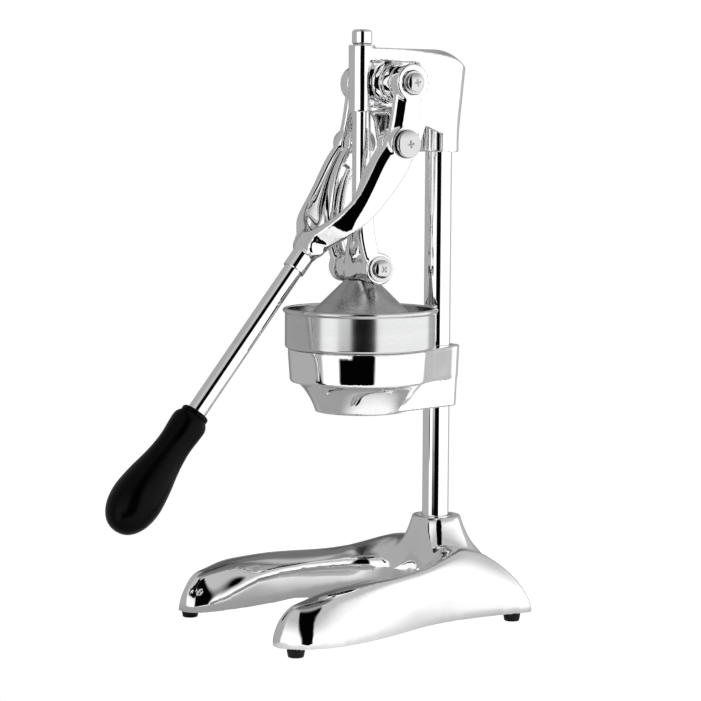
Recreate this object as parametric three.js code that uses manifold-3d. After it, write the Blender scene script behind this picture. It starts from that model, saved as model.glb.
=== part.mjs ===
// A hand citrus press: a horseshoe base carries a column, the column carries a juice cup and a head,
// and a forked lever pushes a press rod down through two links. It is drawn with the rod closed.
// X runs to the right, Y to the back and Z up. While it is drawn, the rod's axis is X = Y = 0.
import * as THREE from 'three'
import { mergeVertices } from 'three/addons/utils/BufferGeometryUtils.js'
import Module from 'manifold-3d'

const wasm = await Module()
wasm.setup()

// Overall sizes, in millimetres
const overallHeight = 440
const baseWidth = 190
const baseDepth = 230
const toeReach = 113
const halfBase = baseWidth / 2
const baseRear = baseDepth - toeReach
const clearance = 0.3
const runningGap = 0.25
const cutOverrun = 4
const weld = 0.001

// Facets round a piece, by its size
const largeFacets = 36
const mediumFacets = 20
const smallFacets = 14
const tinyFacets = 10

// Column and its place behind the rod
const columnDiameter = 20
const columnSetback = 68
const columnBossTop = 76
const columnFloor = 22

// Base casting
const baseUnderside = 6.5
const baseWall = 5
const archSetback = 45.5
const bossTopRadius = 19
const pillarRadius = 17

// Feet
const footTopRadius = 6.6
const footFloorRadius = 5.6
const footStemRadius = 3
const footStemLength = 8
const footPillarRadius = 8
const frontFootSpreadShare = 0.842
const rearFootSpreadShare = 0.547
const footReachShare = 0.885
const footBandShare = 0.7

// Column bolt and washer under the base
const boltShankRadius = 4
const boltHeadFlats = 13
const boltHeadHeight = 5.5
const boltEngagement = 26
const boltWasherRadius = 10
const boltWasherThickness = 1.6
const boltRecessRadius = 11.5

// Head casting
const headHalfWidth = 17.5
const capLength = 11
const capBottom = overallHeight - capLength
const guideTop = capBottom - clearance
const guideStand = 1.7
const headTop = guideTop - guideStand
const headHeight = 76
const headBottom = headTop - headHeight
const headRearTop = 90.2
const headRearBottom = 81.5
const leanStartShare = 0.73
const headFrontHeight = 47
const headFrontEdge = headTop - headFrontHeight
const headWall = 3.5
const headSocketRadius = 14.75
const columnDepthInHead = 51
const columnTopInHead = headBottom + columnDepthInHead
const guideRadius = 9.7
const pocketDepth = 8.5
const pocketCeiling = 10
const pocketTop = headTop - pocketCeiling
const pocketFloor = 4
const pocketBottom = headFrontEdge + pocketFloor
const pocketRear = 40

// Pivots: top pivot on the head, lower pivot on the rod's axis, and the lever's crank between them
const topPivotSetback = 19.1
const topPivotDepth = 25.7
const topPivotHeight = headTop - topPivotDepth
const pivotDrop = 135.3
const lowerPivotHeight = topPivotHeight - pivotDrop
const crankRadius = 44.8
const pivotBossRadius = 13.5
const pivotBossReach = 29.2

// Press rod, cap and crosshead
const rodRadius = 6.8
const rodShoulderRise = 4
const rodShoulderHeight = lowerPivotHeight + rodShoulderRise
const rodTailRadius = 5
const rodTailDrop = 21
const rodTailBottom = lowerPivotHeight - rodTailDrop
const rodStudRadius = 4
const rodStudLength = 7
const capRadius = 7.4
const capEdge = 1.4
const crossheadHalfWidth = 18.7
const crossheadDrop = 9
const crossheadBottom = lowerPivotHeight - crossheadDrop
const crossheadRise = 36
const crossheadTop = crossheadBottom + crossheadRise
const crossheadBodyRadius = 12
const crossheadNeckRadius = 9.6
const crossheadEyeRadius = 10.6

// Links
const linkInnerFace = 19
const linkThickness = 8
const linkHalfWidth = 6.2
const linkBow = 16.5
const linkBowPower = 0.7
const linkWaistShare = 1.06
const linkEyeRadius = 11.6
const linkWaistThickness = 12
const linkSwellPower = 5
const linkPocketDepth = 7
const linkPocketHalfWidth = 3.4
const linkPocketStartShare = 0.2

// Forked lever
const armInnerFace = 29.5
const armThickness = 11
const topEyeRadius = 13.5
const midEyeRadius = 12
const socketRadius = 8.4
const socketLength = 19
const socketWallEnd = 5
const leverSlope = THREE.MathUtils.degToRad(51.45)
const forkLength = 96.4
const barOffset = 2.2
const barRadius = 7
const barLength = 220
const topBushRadius = 8.5
const topBushLength = 6
const topBushStand = 1.6

// Grip on the bar
const gripStart = 150
const gripLength = 99
const gripRadius = 18.8
const gripRingLength = 3.4
const gripRingRadius = 10.4

// Screws
const pivotShankRadius = 4
const topScrewHeadRadius = 7
const midScrewHeadRadius = 10
const lowerScrewHeadRadius = 6.8
const screwHeadHeight = 4
const screwDomeHeight = 2
const recessLength = 5
const recessWidth = 1.1
const recessDepth = 1.6
const midWasherRadius = 11
const midSpacerRadius = 10.2
const midWasherThickness = 1.2
const lowerWasherRadius = 9.5
const lowerWasherThickness = 1.6
const topScrewBite = 16
const midScrewSkin = 0.25
const lowerScrewBite = 10.5
const grubRadius = 3
const holderGrubLength = 6
const headGrubLength = 7.5

// Press cone and its nut
const coneRadius = 48
const coneWall = 1.4
const coneSkirt = 6
const coneCollarRadius = 11.7
const coneNutFlats = 15
const coneNutHeight = 7

// Cup, strainer and holder
const rimRadius = 57.5
const rimDrop = 30
const rimTop = lowerPivotHeight - rimDrop
const cupHeight = 30
const holderTop = rimTop - cupHeight
const rimBead = 3
const cupRadius = 55.8
const cupWall = 1.3
const cupSeatRadius = 48.7
const cupSeatDepth = 12
const cupSeatBottom = holderTop - cupSeatDepth
const funnelThroat = 14
const funnelDepth = 23
const funnelThroatHeight = cupSeatBottom - funnelDepth
const spoutLength = 8
const spoutBottom = funnelThroatHeight - spoutLength
const holderRadius = 53.1
const holderBandHeight = 25
const holderBandBottom = holderTop - holderBandHeight
const holderMouthRadius = 32.3
const holderRise = 46
const holderBottom = holderTop - holderRise
const holderWall = 4
const sleeveTopRadius = 16.6
const sleeveBottomRadius = 14.5
const strainerRimRadius = 46.8
const strainerWall = 1.2
const strainerLift = 1.6
const strainerSeat = cupSeatBottom + strainerLift
const strainerSkirtRadius = 41
const strainerRise = 47.4
const strainerDomeTop = strainerSeat + strainerRise
const strainerNoseRadius = 7
const fluteCount = 10
const fluteDepth = 1.5
const slotCount = 10
const slotStart = 27
const strainerSlotWidth = 2.4
const strainerSlotLength = 12

// Colours and finishes
const chrome = { color: 0xdcdddf, metalness: 1, roughness: 0.06 }
const polishedCasting = { color: 0xd6d7d9, metalness: 1, roughness: 0.1 }
const brushedSteel = { color: 0xb9babb, metalness: 1, roughness: 0.34 }
const zincSteel = { color: 0xa9abad, metalness: 1, roughness: 0.3 }
const blackPlastic = { color: 0x121213, metalness: 0, roughness: 0.35 }
const blackRubber = { color: 0x0c0c0d, metalness: 0, roughness: 0.75 }

// Solids from closed geometry, turned so that their faces point outward
function solid (geometry) {
  const bare = new THREE.BufferGeometry()
  bare.setAttribute('position', geometry.getAttribute('position').clone())
  if (geometry.index) bare.setIndex(geometry.index.clone())
  const merged = mergeVertices(bare, weld)
  const places = merged.getAttribute('position')
  const corners = merged.index.array
  const kept = []
  let volume = 0
  const a = new THREE.Vector3()
  const b = new THREE.Vector3()
  const c = new THREE.Vector3()
  for (let i = 0; i < corners.length; i += 3) {
    const [p, q, r] = [corners[i], corners[i + 1], corners[i + 2]]
    if (p === q || q === r || r === p) continue
    a.fromBufferAttribute(places, p)
    b.fromBufferAttribute(places, q)
    c.fromBufferAttribute(places, r)
    volume += a.dot(b.cross(c))
    kept.push(p, q, r)
  }
  if (volume < 0) kept.reverse()
  const vertProperties = new Float32Array(places.array)
  const triVerts = new Uint32Array(kept)
  return new wasm.Manifold(new wasm.Mesh({ numProp: 3, vertProperties, triVerts }))
}

function add (...solids) {
  return solids.reduce((whole, next) => whole.add(next))
}

function cut (body, ...tools) {
  return tools.reduce((whole, next) => whole.subtract(next), body)
}

// Right-handed frames: columns are where local x, y and z point
function frame (x, y, z, origin = new THREE.Vector3()) {
  return new THREE.Matrix4().makeBasis(x, y, z).setPosition(origin)
}
const right = new THREE.Vector3(1, 0, 0)
const back = new THREE.Vector3(0, 1, 0)
const up = new THREE.Vector3(0, 0, 1)

// A turned piece: its profile is pairs of radius and height along local z
function turnedGeometry (profile, facets) {
  const points = profile.map(([radius, height]) => new THREE.Vector2(radius, height))
  return new THREE.LatheGeometry(points, facets).rotateX(Math.PI / 2)
}
function turned (profile, facets, place = new THREE.Matrix4()) {
  return solid(turnedGeometry(profile, facets).applyMatrix4(place))
}
function bar (radius, bottom, top, facets, place) {
  return turned([[0, bottom], [radius, bottom], [radius, top], [0, top]], facets, place)
}
function tube (inner, outer, bottom, top, facets, place) {
  const outline = [[inner, bottom], [outer, bottom], [outer, top], [inner, top], [inner, bottom]]
  return turned(outline, facets, place)
}
function upright (x, y, z = 0) {
  return new THREE.Matrix4().makeTranslation(x, y, z)
}
// Local z points to the side: side is 1 for the right and -1 for the left
function sideways (side, y, z) {
  const origin = new THREE.Vector3(0, y, z)
  return frame(back.clone().multiplyScalar(side), up, right.clone().multiplyScalar(side), origin)
}

// A flat outline given a thickness along local z
function plate (outline, from, to, place = new THREE.Matrix4()) {
  const shape = new THREE.Shape(outline.map(([x, y]) => new THREE.Vector2(x, y)))
  const geometry = new THREE.ExtrudeGeometry(shape, { depth: to - from, bevelEnabled: false })
  return solid(geometry.translate(0, 0, from).applyMatrix4(place))
}
// Outlines in side view are pairs of setback and height, given their thickness across the press
const sideView = frame(back, up, right)
function block (low, high) {
  const outline = [[low[0], low[1]], [high[0], low[1]], [high[0], high[1]], [low[0], high[1]]]
  return plate(outline, low[2], high[2])
}

// A skin through closed rings of points, with a fan at each end
function skin (rings) {
  const count = rings[0].length
  const places = []
  const faces = []
  rings.forEach(ring => ring.forEach(point => places.push(point.x, point.y, point.z)))
  for (let r = 0; r + 1 < rings.length; r++) {
    for (let i = 0; i < count; i++) {
      const j = (i + 1) % count
      const [low, high] = [r * count, (r + 1) * count]
      faces.push(low + i, low + j, high + j, low + i, high + j, high + i)
    }
  }
  const ends = [rings[0], rings[rings.length - 1]]
  ends.forEach((ring, end) => {
    const middle = ring.reduce((sum, point) => sum.add(point), new THREE.Vector3()).divideScalar(count)
    const centre = places.length / 3
    places.push(middle.x, middle.y, middle.z)
    const first = end === 0 ? 0 : (rings.length - 1) * count
    for (let i = 0; i < count; i++) {
      const j = (i + 1) % count
      if (end === 0) faces.push(centre, first + j, first + i)
      else faces.push(centre, first + i, first + j)
    }
  })
  const geometry = new THREE.BufferGeometry()
  geometry.setAttribute('position', new THREE.Float32BufferAttribute(places, 3))
  geometry.setIndex(faces)
  return solid(geometry)
}

// A bar of rounded oblong section that follows stations of centre, half width and half thickness.
// The width stays along the given direction, and the thickness lies square to it and to the path.
function sweep (stations, widthDirection, facets, oblongPower) {
  const rings = stations.map((station, index) => {
    const before = stations[Math.max(index - 1, 0)].centre
    const after = stations[Math.min(index + 1, stations.length - 1)].centre
    const path = after.clone().sub(before).normalize()
    const width = (station.width || widthDirection).clone()
    width.addScaledVector(path, -width.dot(path)).normalize()
    const depth = path.clone().cross(width)
    const ring = []
    for (let i = 0; i < facets; i++) {
      const angle = 2 * Math.PI * i / facets
      const along = Math.sign(Math.cos(angle)) * Math.abs(Math.cos(angle)) ** oblongPower
      const across = Math.sign(Math.sin(angle)) * Math.abs(Math.sin(angle)) ** oblongPower
      const point = station.centre.clone()
      point.addScaledVector(width, station.halfWidth * along)
      ring.push(point.addScaledVector(depth, station.halfThickness * across))
    }
    return ring
  })
  return skin(rings)
}

function mixed (a, b, share) {
  return a + (b - a) * share
}

const press = new THREE.Group()
function put (name, body, finish) {
  const mesh = body.getMesh()
  const geometry = new THREE.BufferGeometry()
  geometry.setAttribute('position', new THREE.BufferAttribute(new Float32Array(mesh.vertProperties), 3))
  geometry.setIndex(new THREE.BufferAttribute(new Uint32Array(mesh.triVerts), 1))
  geometry.computeVertexNormals()
  const piece = new THREE.Mesh(geometry, new THREE.MeshStandardMaterial({ ...finish, flatShading: true }))
  piece.name = name
  press.add(piece)
}
const sides = [['left', -1], ['right', 1]]

// Base casting: a horseshoe with two toes. Each station crosses it from the inner wall to the outer edge.
// The shares give x of the half width and y of the toe's reach in front, or of the rear's behind.
const crestHeight = 47
const lipHeight = 37
const stationShares = [
  // outer x, outer y, inner x, inner y, lip height, crest place, crest height, brow fullness
  [0.82, -1, 0.72, -0.995, 0.25, 0.5, 0.34, 2.3],
  [0.91, -0.97, 0.645, -0.965, 0.31, 0.5, 0.53, 2.3],
  [0.975, -0.88, 0.6, -0.895, 0.38, 0.47, 0.7, 2.3],
  [1, -0.77, 0.57, -0.8, 0.47, 0.45, 0.8, 2.3],
  [0.998, -0.64, 0.552, -0.68, 0.56, 0.44, 0.88, 2.3],
  [0.972, -0.48, 0.54, -0.52, 0.69, 0.44, 0.94, 2.3],
  [0.915, -0.31, 0.525, -0.35, 0.82, 0.45, 0.98, 2.3],
  [0.832, -0.12, 0.505, -0.17, 0.92, 0.48, 1, 2.3],
  [0.737, 0.07, 0.474, 0.02, 0.98, 0.52, 1.02, 2.3],
  [0.663, 0.25, 0.421, 0.18, 1.01, 0.57, 1.08, 2.2],
  [0.625, 0.43, 0.347, 0.28, 1.01, 0.58, 1.16, 2.1],
  [0.612, 0.61, 0.263, 0.34, 1, 0.56, 1.19, 2],
  [0.622, 0.79, 0.179, 0.37, 0.99, 0.5, 1.17, 1.85],
  [0.644, 0.95, 0.126, 0.382, 0.98, 0.45, 1.12, 1.72],
  [0.605, 1, 0.09, 0.387, 0.97, 0.42, 1.02, 1.7],
  [0.44, 1, 0.06, 0.39, 0.96, 0.48, 1, 1.75],
  [0.22, 1, 0.03, 0.392, 0.95, 0.56, 1, 1.8]
]
const middleStation = [0, 1, 0, archSetback / baseRear, 0.95, 0.6, 1, 1.8]
const slopeShares = [0.14, 0.36, 0.66]
const browAngleShares = [0.16, 0.34, 0.52, 0.7, 0.86]
function basePoint (share) {
  return share < 0 ? share * toeReach : share * baseRear
}
function baseRing (side, station, inset, bottom) {
  const [outerX, outerY, innerX, innerY, lip, crestPlace, crest, fullness] = station
  const outer = new THREE.Vector2(outerX * halfBase * side, basePoint(outerY))
  const inner = new THREE.Vector2(innerX * halfBase * side, basePoint(innerY))
  const across = outer.clone().sub(inner)
  const width = across.length()
  across.divideScalar(width)
  inner.addScaledVector(across, inset)
  outer.addScaledVector(across, -inset)
  const span = width - 2 * inset
  const lipTop = lip * lipHeight - inset
  const crestTop = crest * crestHeight - inset
  const at = (distance, height) => {
    const spot = inner.clone().addScaledVector(across, distance)
    return new THREE.Vector3(spot.x, spot.y, height)
  }
  const points = [at(0, bottom), at(0, lipTop)]
  for (const share of slopeShares) {
    const rise = Math.sin(share * Math.PI / 2)
    points.push(at(span * crestPlace * share, mixed(lipTop, crestTop, rise)))
  }
  points.push(at(span * crestPlace, crestTop))
  const fall = span * (1 - crestPlace)
  for (const share of browAngleShares) {
    const angle = share * Math.PI / 2
    const out = Math.sin(angle) ** (2 / fullness)
    const down = Math.cos(angle) ** (2 / fullness)
    points.push(at(span * crestPlace + fall * out, mixed(baseUnderside, crestTop, down)))
  }
  points.push(at(span, bottom))
  return points
}
function horseshoe (inset, bottom, skipped) {
  const leftHand = stationShares.slice(skipped).map(station => baseRing(-1, station, inset, bottom))
  const rightHand = stationShares.slice(skipped).map(station => baseRing(1, station, inset, bottom))
  return skin([...leftHand, baseRing(1, middleStation, inset, bottom), ...rightHand.reverse()])
}
const castingSkin = horseshoe(0, baseUnderside, 0)
const solidToeCount = 2
const castingHollow = horseshoe(baseWall, baseUnderside - cutOverrun, solidToeCount)
const archOutline = [
  ...stationShares.map(station => [-station[2] * halfBase, basePoint(station[3])]),
  [0, archSetback],
  ...stationShares.map(station => [station[2] * halfBase, basePoint(station[3])]).reverse()
]
const archSpace = plate(archOutline, -cutOverrun, columnBossTop + cutOverrun)
const bossFlareShares = [[0.97, 1], [1, 0.985], [1.06, 0.94], [1.2, 0.85], [1.46, 0.73], [1.85, 0.61],
  [2.05, 0.53], [2.2, 0.43]]
const flare = bossFlareShares.map(([out, high]) => [out * bossTopRadius, high * columnBossTop])
const columnPlace = upright(0, columnSetback)
const hollowTop = crestHeight - baseWall
const bossFloor = lipHeight - baseWall
const boss = turned([[0, bossFloor], [flare[flare.length - 1][0], bossFloor], ...flare.slice().reverse(),
  [0, columnBossTop]], mediumFacets, columnPlace)
const rearBlock = block([-halfBase, archSetback - clearance, baseUnderside],
  [halfBase, baseRear, columnBossTop])
const pillar = bar(pillarRadius, baseUnderside, hollowTop, mediumFacets, columnPlace)
const frontFoot = [frontFootSpreadShare * halfBase, -footReachShare * toeReach]
const rearFoot = [rearFootSpreadShare * halfBase, footReachShare * baseRear]
const footPlaces = [
  ['foot_front_left', -frontFoot[0], frontFoot[1]],
  ['foot_front_right', ...frontFoot],
  ['foot_rear_left', -rearFoot[0], rearFoot[1]],
  ['foot_rear_right', ...rearFoot]
]
const footPillars = footPlaces.map(([, x, y]) => {
  return bar(footPillarRadius, baseUnderside, hollowTop, smallFacets, upright(x, y)).intersect(castingSkin)
})
const boltRecessTop = baseUnderside + boltHeadHeight + boltWasherThickness + 2 * clearance
const footHoles = footPlaces.map(([, x, y]) => {
  const top = baseUnderside + footStemLength + clearance
  return bar(footStemRadius + clearance, baseUnderside - cutOverrun, top, tinyFacets, upright(x, y))
})
const base = cut(
  add(castingSkin.subtract(castingHollow), cut(boss.intersect(rearBlock), archSpace), pillar, ...footPillars),
  bar(columnDiameter / 2 + clearance, columnFloor, columnBossTop + cutOverrun, mediumFacets, columnPlace),
  bar(boltShankRadius + clearance, 0, columnBossTop, smallFacets, columnPlace),
  bar(boltRecessRadius, 0, boltRecessTop, mediumFacets, columnPlace),
  ...footHoles)
put('base', base, polishedCasting)

// Rubber feet, each with a stem pushed up into its pillar
for (const [name, x, y] of footPlaces) {
  const top = baseUnderside - clearance
  const stemTop = baseUnderside + footStemLength
  const profile = [[0, 0], [footFloorRadius, 0], [footTopRadius, top * footBandShare], [footTopRadius, top],
    [footStemRadius, top], [footStemRadius, stemTop], [0, stemTop]]
  put(name, turned(profile, smallFacets, upright(x, y)), blackRubber)
}

// Column: a bar with a tapped hole in its foot
const columnBottom = columnFloor + clearance
const tappedDepth = boltEngagement + clearance
const column = cut(
  bar(columnDiameter / 2, columnBottom, columnTopInHead - clearance, mediumFacets, columnPlace),
  bar(boltShankRadius + clearance, columnBottom - cutOverrun, columnBottom + tappedDepth, smallFacets,
    columnPlace))
put('column', column, chrome)

const washerBottom = boltRecessTop - clearance - boltWasherThickness
const boltWasher = tube(boltShankRadius + clearance, boltWasherRadius, washerBottom,
  washerBottom + boltWasherThickness, mediumFacets, columnPlace)
put('column_washer', boltWasher, zincSteel)
const hexagonFacets = 6
const headCorner = radius => radius / Math.cos(Math.PI / hexagonFacets)
const boltHeadTop = washerBottom - clearance
const columnBolt = add(
  bar(headCorner(boltHeadFlats / 2), boltHeadTop - boltHeadHeight, boltHeadTop, hexagonFacets, columnPlace),
  bar(boltShankRadius, boltHeadTop - boltHeadHeight / 2, columnBottom + boltEngagement, smallFacets,
    columnPlace))
put('column_bolt', columnBolt, zincSteel)

// Head casting: sections from the guide back to its round rear, crowned more and more towards the rear
const leanReach = headRearTop - headRearBottom
const headStations = [
  // setback share, half width share, side edge drop, crown drop
  [0, 1, 0.004, 0], [0.2, 1, 0.018, 0], [0.36, 1, 0.03, 0], [0.53, 1, 0.05, 0], [0.68, 1, 0.085, 0.001],
  [0.8, 0.97, 0.13, 0.02], [0.88, 0.86, 0.165, 0.045], [0.945, 0.64, 0.19, 0.09], [0.985, 0.36, 0.21, 0.15],
  [1, 0.12, 0.22, 0.2]
]
const crownShares = [[1, 0], [0.95, 0.32], [0.8, 0.66], [0.5, 0.91], [0, 1], [-0.5, 0.91], [-0.8, 0.66],
  [-0.95, 0.32], [-1, 0]]
const headRings = headStations.map(([setback, halfShare, edgeDrop, crownDrop]) => {
  const edge = headTop - edgeDrop * headHeight
  const crown = headTop - crownDrop * headHeight
  const half = headHalfWidth * halfShare
  const lean = Math.max(0, (setback - leanStartShare) / (1 - leanStartShare))
  const place = height => {
    return setback * headRearTop - leanReach * lean * Math.min(1, (headTop - height) / headHeight)
  }
  const ring = crownShares.map(([x, rise]) => {
    const height = mixed(edge, crown, rise)
    return new THREE.Vector3(x * half, place(height), height)
  })
  ring.push(new THREE.Vector3(-half, place(headBottom), headBottom))
  ring.push(new THREE.Vector3(half, place(headBottom), headBottom))
  return ring
})
const cheekFoot = 24
const cheekKnee = 19
const cheekKneeRise = 23
const cheekKneeHeight = headBottom + cheekKneeRise
const cheekTop = 15
const frontOpen = [[-cutOverrun, headBottom - cutOverrun], [cheekFoot, headBottom - cutOverrun],
  [cheekFoot, headBottom], [cheekKnee, cheekKneeHeight], [cheekTop, headFrontEdge],
  [-cutOverrun, headFrontEdge]]
const hollowHalf = headHalfWidth - headWall
const hollowRear = 79.9
const hollowCorner = 8.4
const headHollow = plate([[-hollowHalf, -cutOverrun], [hollowHalf, -cutOverrun], [hollowHalf, columnSetback],
  [hollowCorner, hollowRear], [-hollowCorner, hollowRear], [-hollowHalf, columnSetback]],
headBottom - cutOverrun, headFrontEdge)
const notchFront = 39
const notchPeakBack = 45.3
const notchRise = 19
const notchPeak = headBottom + notchRise
const notchRear = 59.3
const notchRearRise = 13.4
const notchRearTop = headBottom + notchRearRise
const notch = plate([[notchFront, headBottom - cutOverrun], [notchRear, headBottom - cutOverrun],
  [notchRear, notchRearTop], [notchPeakBack, notchPeak], [notchFront, headBottom]],
-headHalfWidth - cutOverrun, headHalfWidth + cutOverrun, sideView)
const columnSocket = bar(headSocketRadius, headBottom, headFrontEdge + cutOverrun, mediumFacets, columnPlace)
const guide = bar(guideRadius, headFrontEdge, guideTop, mediumFacets)
const pocketChamfer = 5
const pocketOutline = [[0, pocketBottom], [pocketRear, pocketBottom], [pocketRear, pocketTop - pocketChamfer],
  [pocketRear - pocketChamfer, pocketTop], [pocketChamfer, pocketTop], [0, pocketTop - pocketChamfer]]
const pockets = sides.map(([, side]) => {
  const reach = [headHalfWidth - pocketDepth, headHalfWidth + cutOverrun]
  const [from, to] = side > 0 ? reach : [-reach[1], -reach[0]]
  return plate(pocketOutline, from, to, sideView)
})
const topPivot = side => sideways(side, topPivotSetback, topPivotHeight)
const pivotBosses = sides.map(([, side]) => {
  const root = headHalfWidth - pocketDepth - headWall
  return bar(pivotBossRadius, root, pivotBossReach, mediumFacets, topPivot(side))
})
const shankBore = pivotShankRadius + clearance
const topScrewTip = pivotBossReach - topScrewBite
const pivotHoles = sides.map(([, side]) => {
  return bar(shankBore, topScrewTip - clearance, pivotBossReach + cutOverrun, smallFacets, topPivot(side))
})
const headGrubRise = 40
const headGrubHeight = headBottom + headGrubRise
const rearward = (y, z) => frame(right, up.clone().negate(), back, new THREE.Vector3(0, y, z))
const grubStart = columnSetback + columnDiameter / 2 + clearance
const grubHole = height => {
  const outside = headRearTop + cutOverrun
  return bar(grubRadius + clearance, grubStart - cutOverrun, outside, tinyFacets, rearward(0, height))
}
const headBody = cut(skin(headRings), plate(frontOpen, -headHalfWidth * 2, headHalfWidth * 2, sideView),
  headHollow, notch, ...pockets)
const head = cut(
  add(headBody, guide, columnSocket, ...pivotBosses),
  bar(columnDiameter / 2 + clearance, headBottom - cutOverrun, columnTopInHead, mediumFacets, columnPlace),
  bar(rodRadius + runningGap, headFrontEdge - cutOverrun, guideTop + cutOverrun, mediumFacets),
  ...pivotHoles, grubHole(headGrubHeight))
put('head', head, polishedCasting)

// Set screws that clamp the castings to the column, with a hexagon socket
function grub (name, height, length) {
  const place = rearward(0, height)
  const end = grubStart + length
  const body = bar(grubRadius, grubStart, end, tinyFacets, place)
  const socket = bar(grubRadius / 2, grubStart + length / 2, end + cutOverrun, hexagonFacets, place)
  put(name, body.subtract(socket), zincSteel)
}
grub('head_set_screw', headGrubHeight, headGrubLength)

// Pan-head screw along local z, its head outside the given face, with a cross recess
const screwFootShare = 0.96
const screwDomeShares = [[1, 0], [0.93, 0.42], [0.76, 0.74], [0.5, 0.92], [0.25, 0.985], [0, 1]]
function panScrew (headRadius, face, tip, place) {
  const rim = face + screwHeadHeight - screwDomeHeight
  const dome = screwDomeShares.map(([out, rise]) => [out * headRadius, rim + rise * screwDomeHeight])
  const body = turned([[0, tip], [pivotShankRadius, tip], [pivotShankRadius, face],
    [headRadius * screwFootShare, face], ...dome], smallFacets, place)
  const top = face + screwHeadHeight
  const slot = (x, y) => {
    const outline = [[-x, -y], [x, -y], [x, y], [-x, y]]
    return plate(outline, top - recessDepth, top + cutOverrun, place)
  }
  return cut(body, slot(recessLength / 2, recessWidth / 2), slot(recessWidth / 2, recessLength / 2))
}

// Holder: a ring that narrows to an open mouth, and an arm back to a sleeve on the column
const holderProfileShares = [
  // radius share of the ring, height share from the mouth to the top
  [1, 1], [1, 0.9], [0.972, 0.51], [0.955, 0.475], [0.92, 0.457], [0.853, 0.435], [0.768, 0.32],
  [0.693, 0.185], [0.637, 0.065], [0.608, 0]
]
const holderOuter = holderProfileShares.map(([out, high]) => {
  return [out * holderRadius, holderBottom + high * holderRise]
})
const seatRadius = cupSeatRadius + clearance
const holderLedge = cupSeatBottom - cutOverrun
const holderThroat = holderMouthRadius - holderWall
const holderBowlShares = [
  // radius share from the mouth to the cup's seat, height share from the mouth to the ledge
  [0.42, 0.55], [0.78, 0.78]
]
const holderInner = [[holderThroat, holderBottom], [holderThroat, holderBottom + holderWall],
  ...holderBowlShares.map(([out, high]) => {
    return [mixed(holderThroat, seatRadius, out), mixed(holderBottom, holderLedge, high)]
  }), [seatRadius, holderLedge], [seatRadius, holderTop]]
const ring = turned([...holderOuter, ...holderInner, holderOuter[0]], largeFacets)
// The outline of a wide round end on the rod's axis, a narrow one on the column and straight sides
const armSteps = 20
function teardrop (wide, narrow, height) {
  const lean = Math.asin((wide - narrow) / columnSetback)
  const outline = []
  for (let i = 0; i <= armSteps; i++) {
    const angle = mixed(lean, -Math.PI - lean, i / armSteps)
    outline.push(new THREE.Vector3(wide * Math.cos(angle), wide * Math.sin(angle), height))
  }
  for (let i = 0; i <= armSteps / 2; i++) {
    const angle = mixed(Math.PI - lean, lean, 2 * i / armSteps)
    const behind = columnSetback + narrow * Math.sin(angle)
    outline.push(new THREE.Vector3(narrow * Math.cos(angle), behind, height))
  }
  return outline
}
const bandDraftShare = 0.972
const bandStart = holderBandBottom + holderWall / 4
const sleeveMiddleRadius = (sleeveTopRadius + sleeveBottomRadius) / 2
const band = skin([teardrop(holderRadius * bandDraftShare - weld, sleeveMiddleRadius, bandStart),
  teardrop(holderRadius - weld, sleeveTopRadius, holderTop)])
const web = skin([teardrop(holderMouthRadius, sleeveBottomRadius, holderBottom),
  teardrop(holderMouthRadius, sleeveTopRadius, holderTop)])
const cupSpace = turned([[0, holderBottom - cutOverrun], [holderThroat, holderBottom - cutOverrun],
  ...holderInner, [seatRadius, holderTop + cutOverrun], [0, holderTop + cutOverrun]], largeFacets)
const holderGrubHeight = (holderTop + holderBandBottom) / 2
const columnHole = bar(columnDiameter / 2 + clearance, holderBottom - cutOverrun, holderTop + cutOverrun,
  mediumFacets, columnPlace)
const holder = cut(add(ring, cut(add(band, web), cupSpace)), columnHole, grubHole(holderGrubHeight))
put('holder', holder, polishedCasting)
grub('holder_set_screw', holderGrubHeight, holderGrubLength)

// Cup: a spun bowl with a rolled rim, a shoulder on the holder's ring, and a funnel inside it
const shoulder = holderTop + clearance
const beadShares = [
  // inward from the rim's radius and down from its top, as shares of the bead
  [0.3, 1], [0, 0.5], [0.3, 0], [1, 0]
]
const rimBeadPoints = beadShares.map(([inward, down]) => {
  return [rimRadius - inward * rimBead, rimTop - down * rimBead]
})
const cupInside = cupRadius - cupWall
const seatInside = cupSeatRadius - cupWall
const spoutInside = funnelThroat - cupWall
const funnelMiddle = (cupSeatRadius + funnelThroat) / 2
const funnelDipShare = 0.45
const funnelDip = mixed(cupSeatBottom, funnelThroatHeight, funnelDipShare)
const cupBowl = turned([[cupRadius, shoulder], [cupRadius, rimTop - rimBead * 2], ...rimBeadPoints,
  [cupInside, rimTop - rimBead], [cupInside, shoulder + cupWall], [seatInside, shoulder + cupWall],
  [seatInside, cupSeatBottom], [funnelMiddle, funnelDip + cupWall], [spoutInside, funnelThroatHeight],
  [spoutInside, spoutBottom], [funnelThroat, spoutBottom], [funnelThroat, funnelThroatHeight - cupWall],
  [funnelMiddle, funnelDip - cupWall], [cupSeatRadius, cupSeatBottom - cupWall], [cupSeatRadius, shoulder],
  [cupRadius, shoulder]], largeFacets)
put('cup', cupBowl, brushedSteel)

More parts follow.
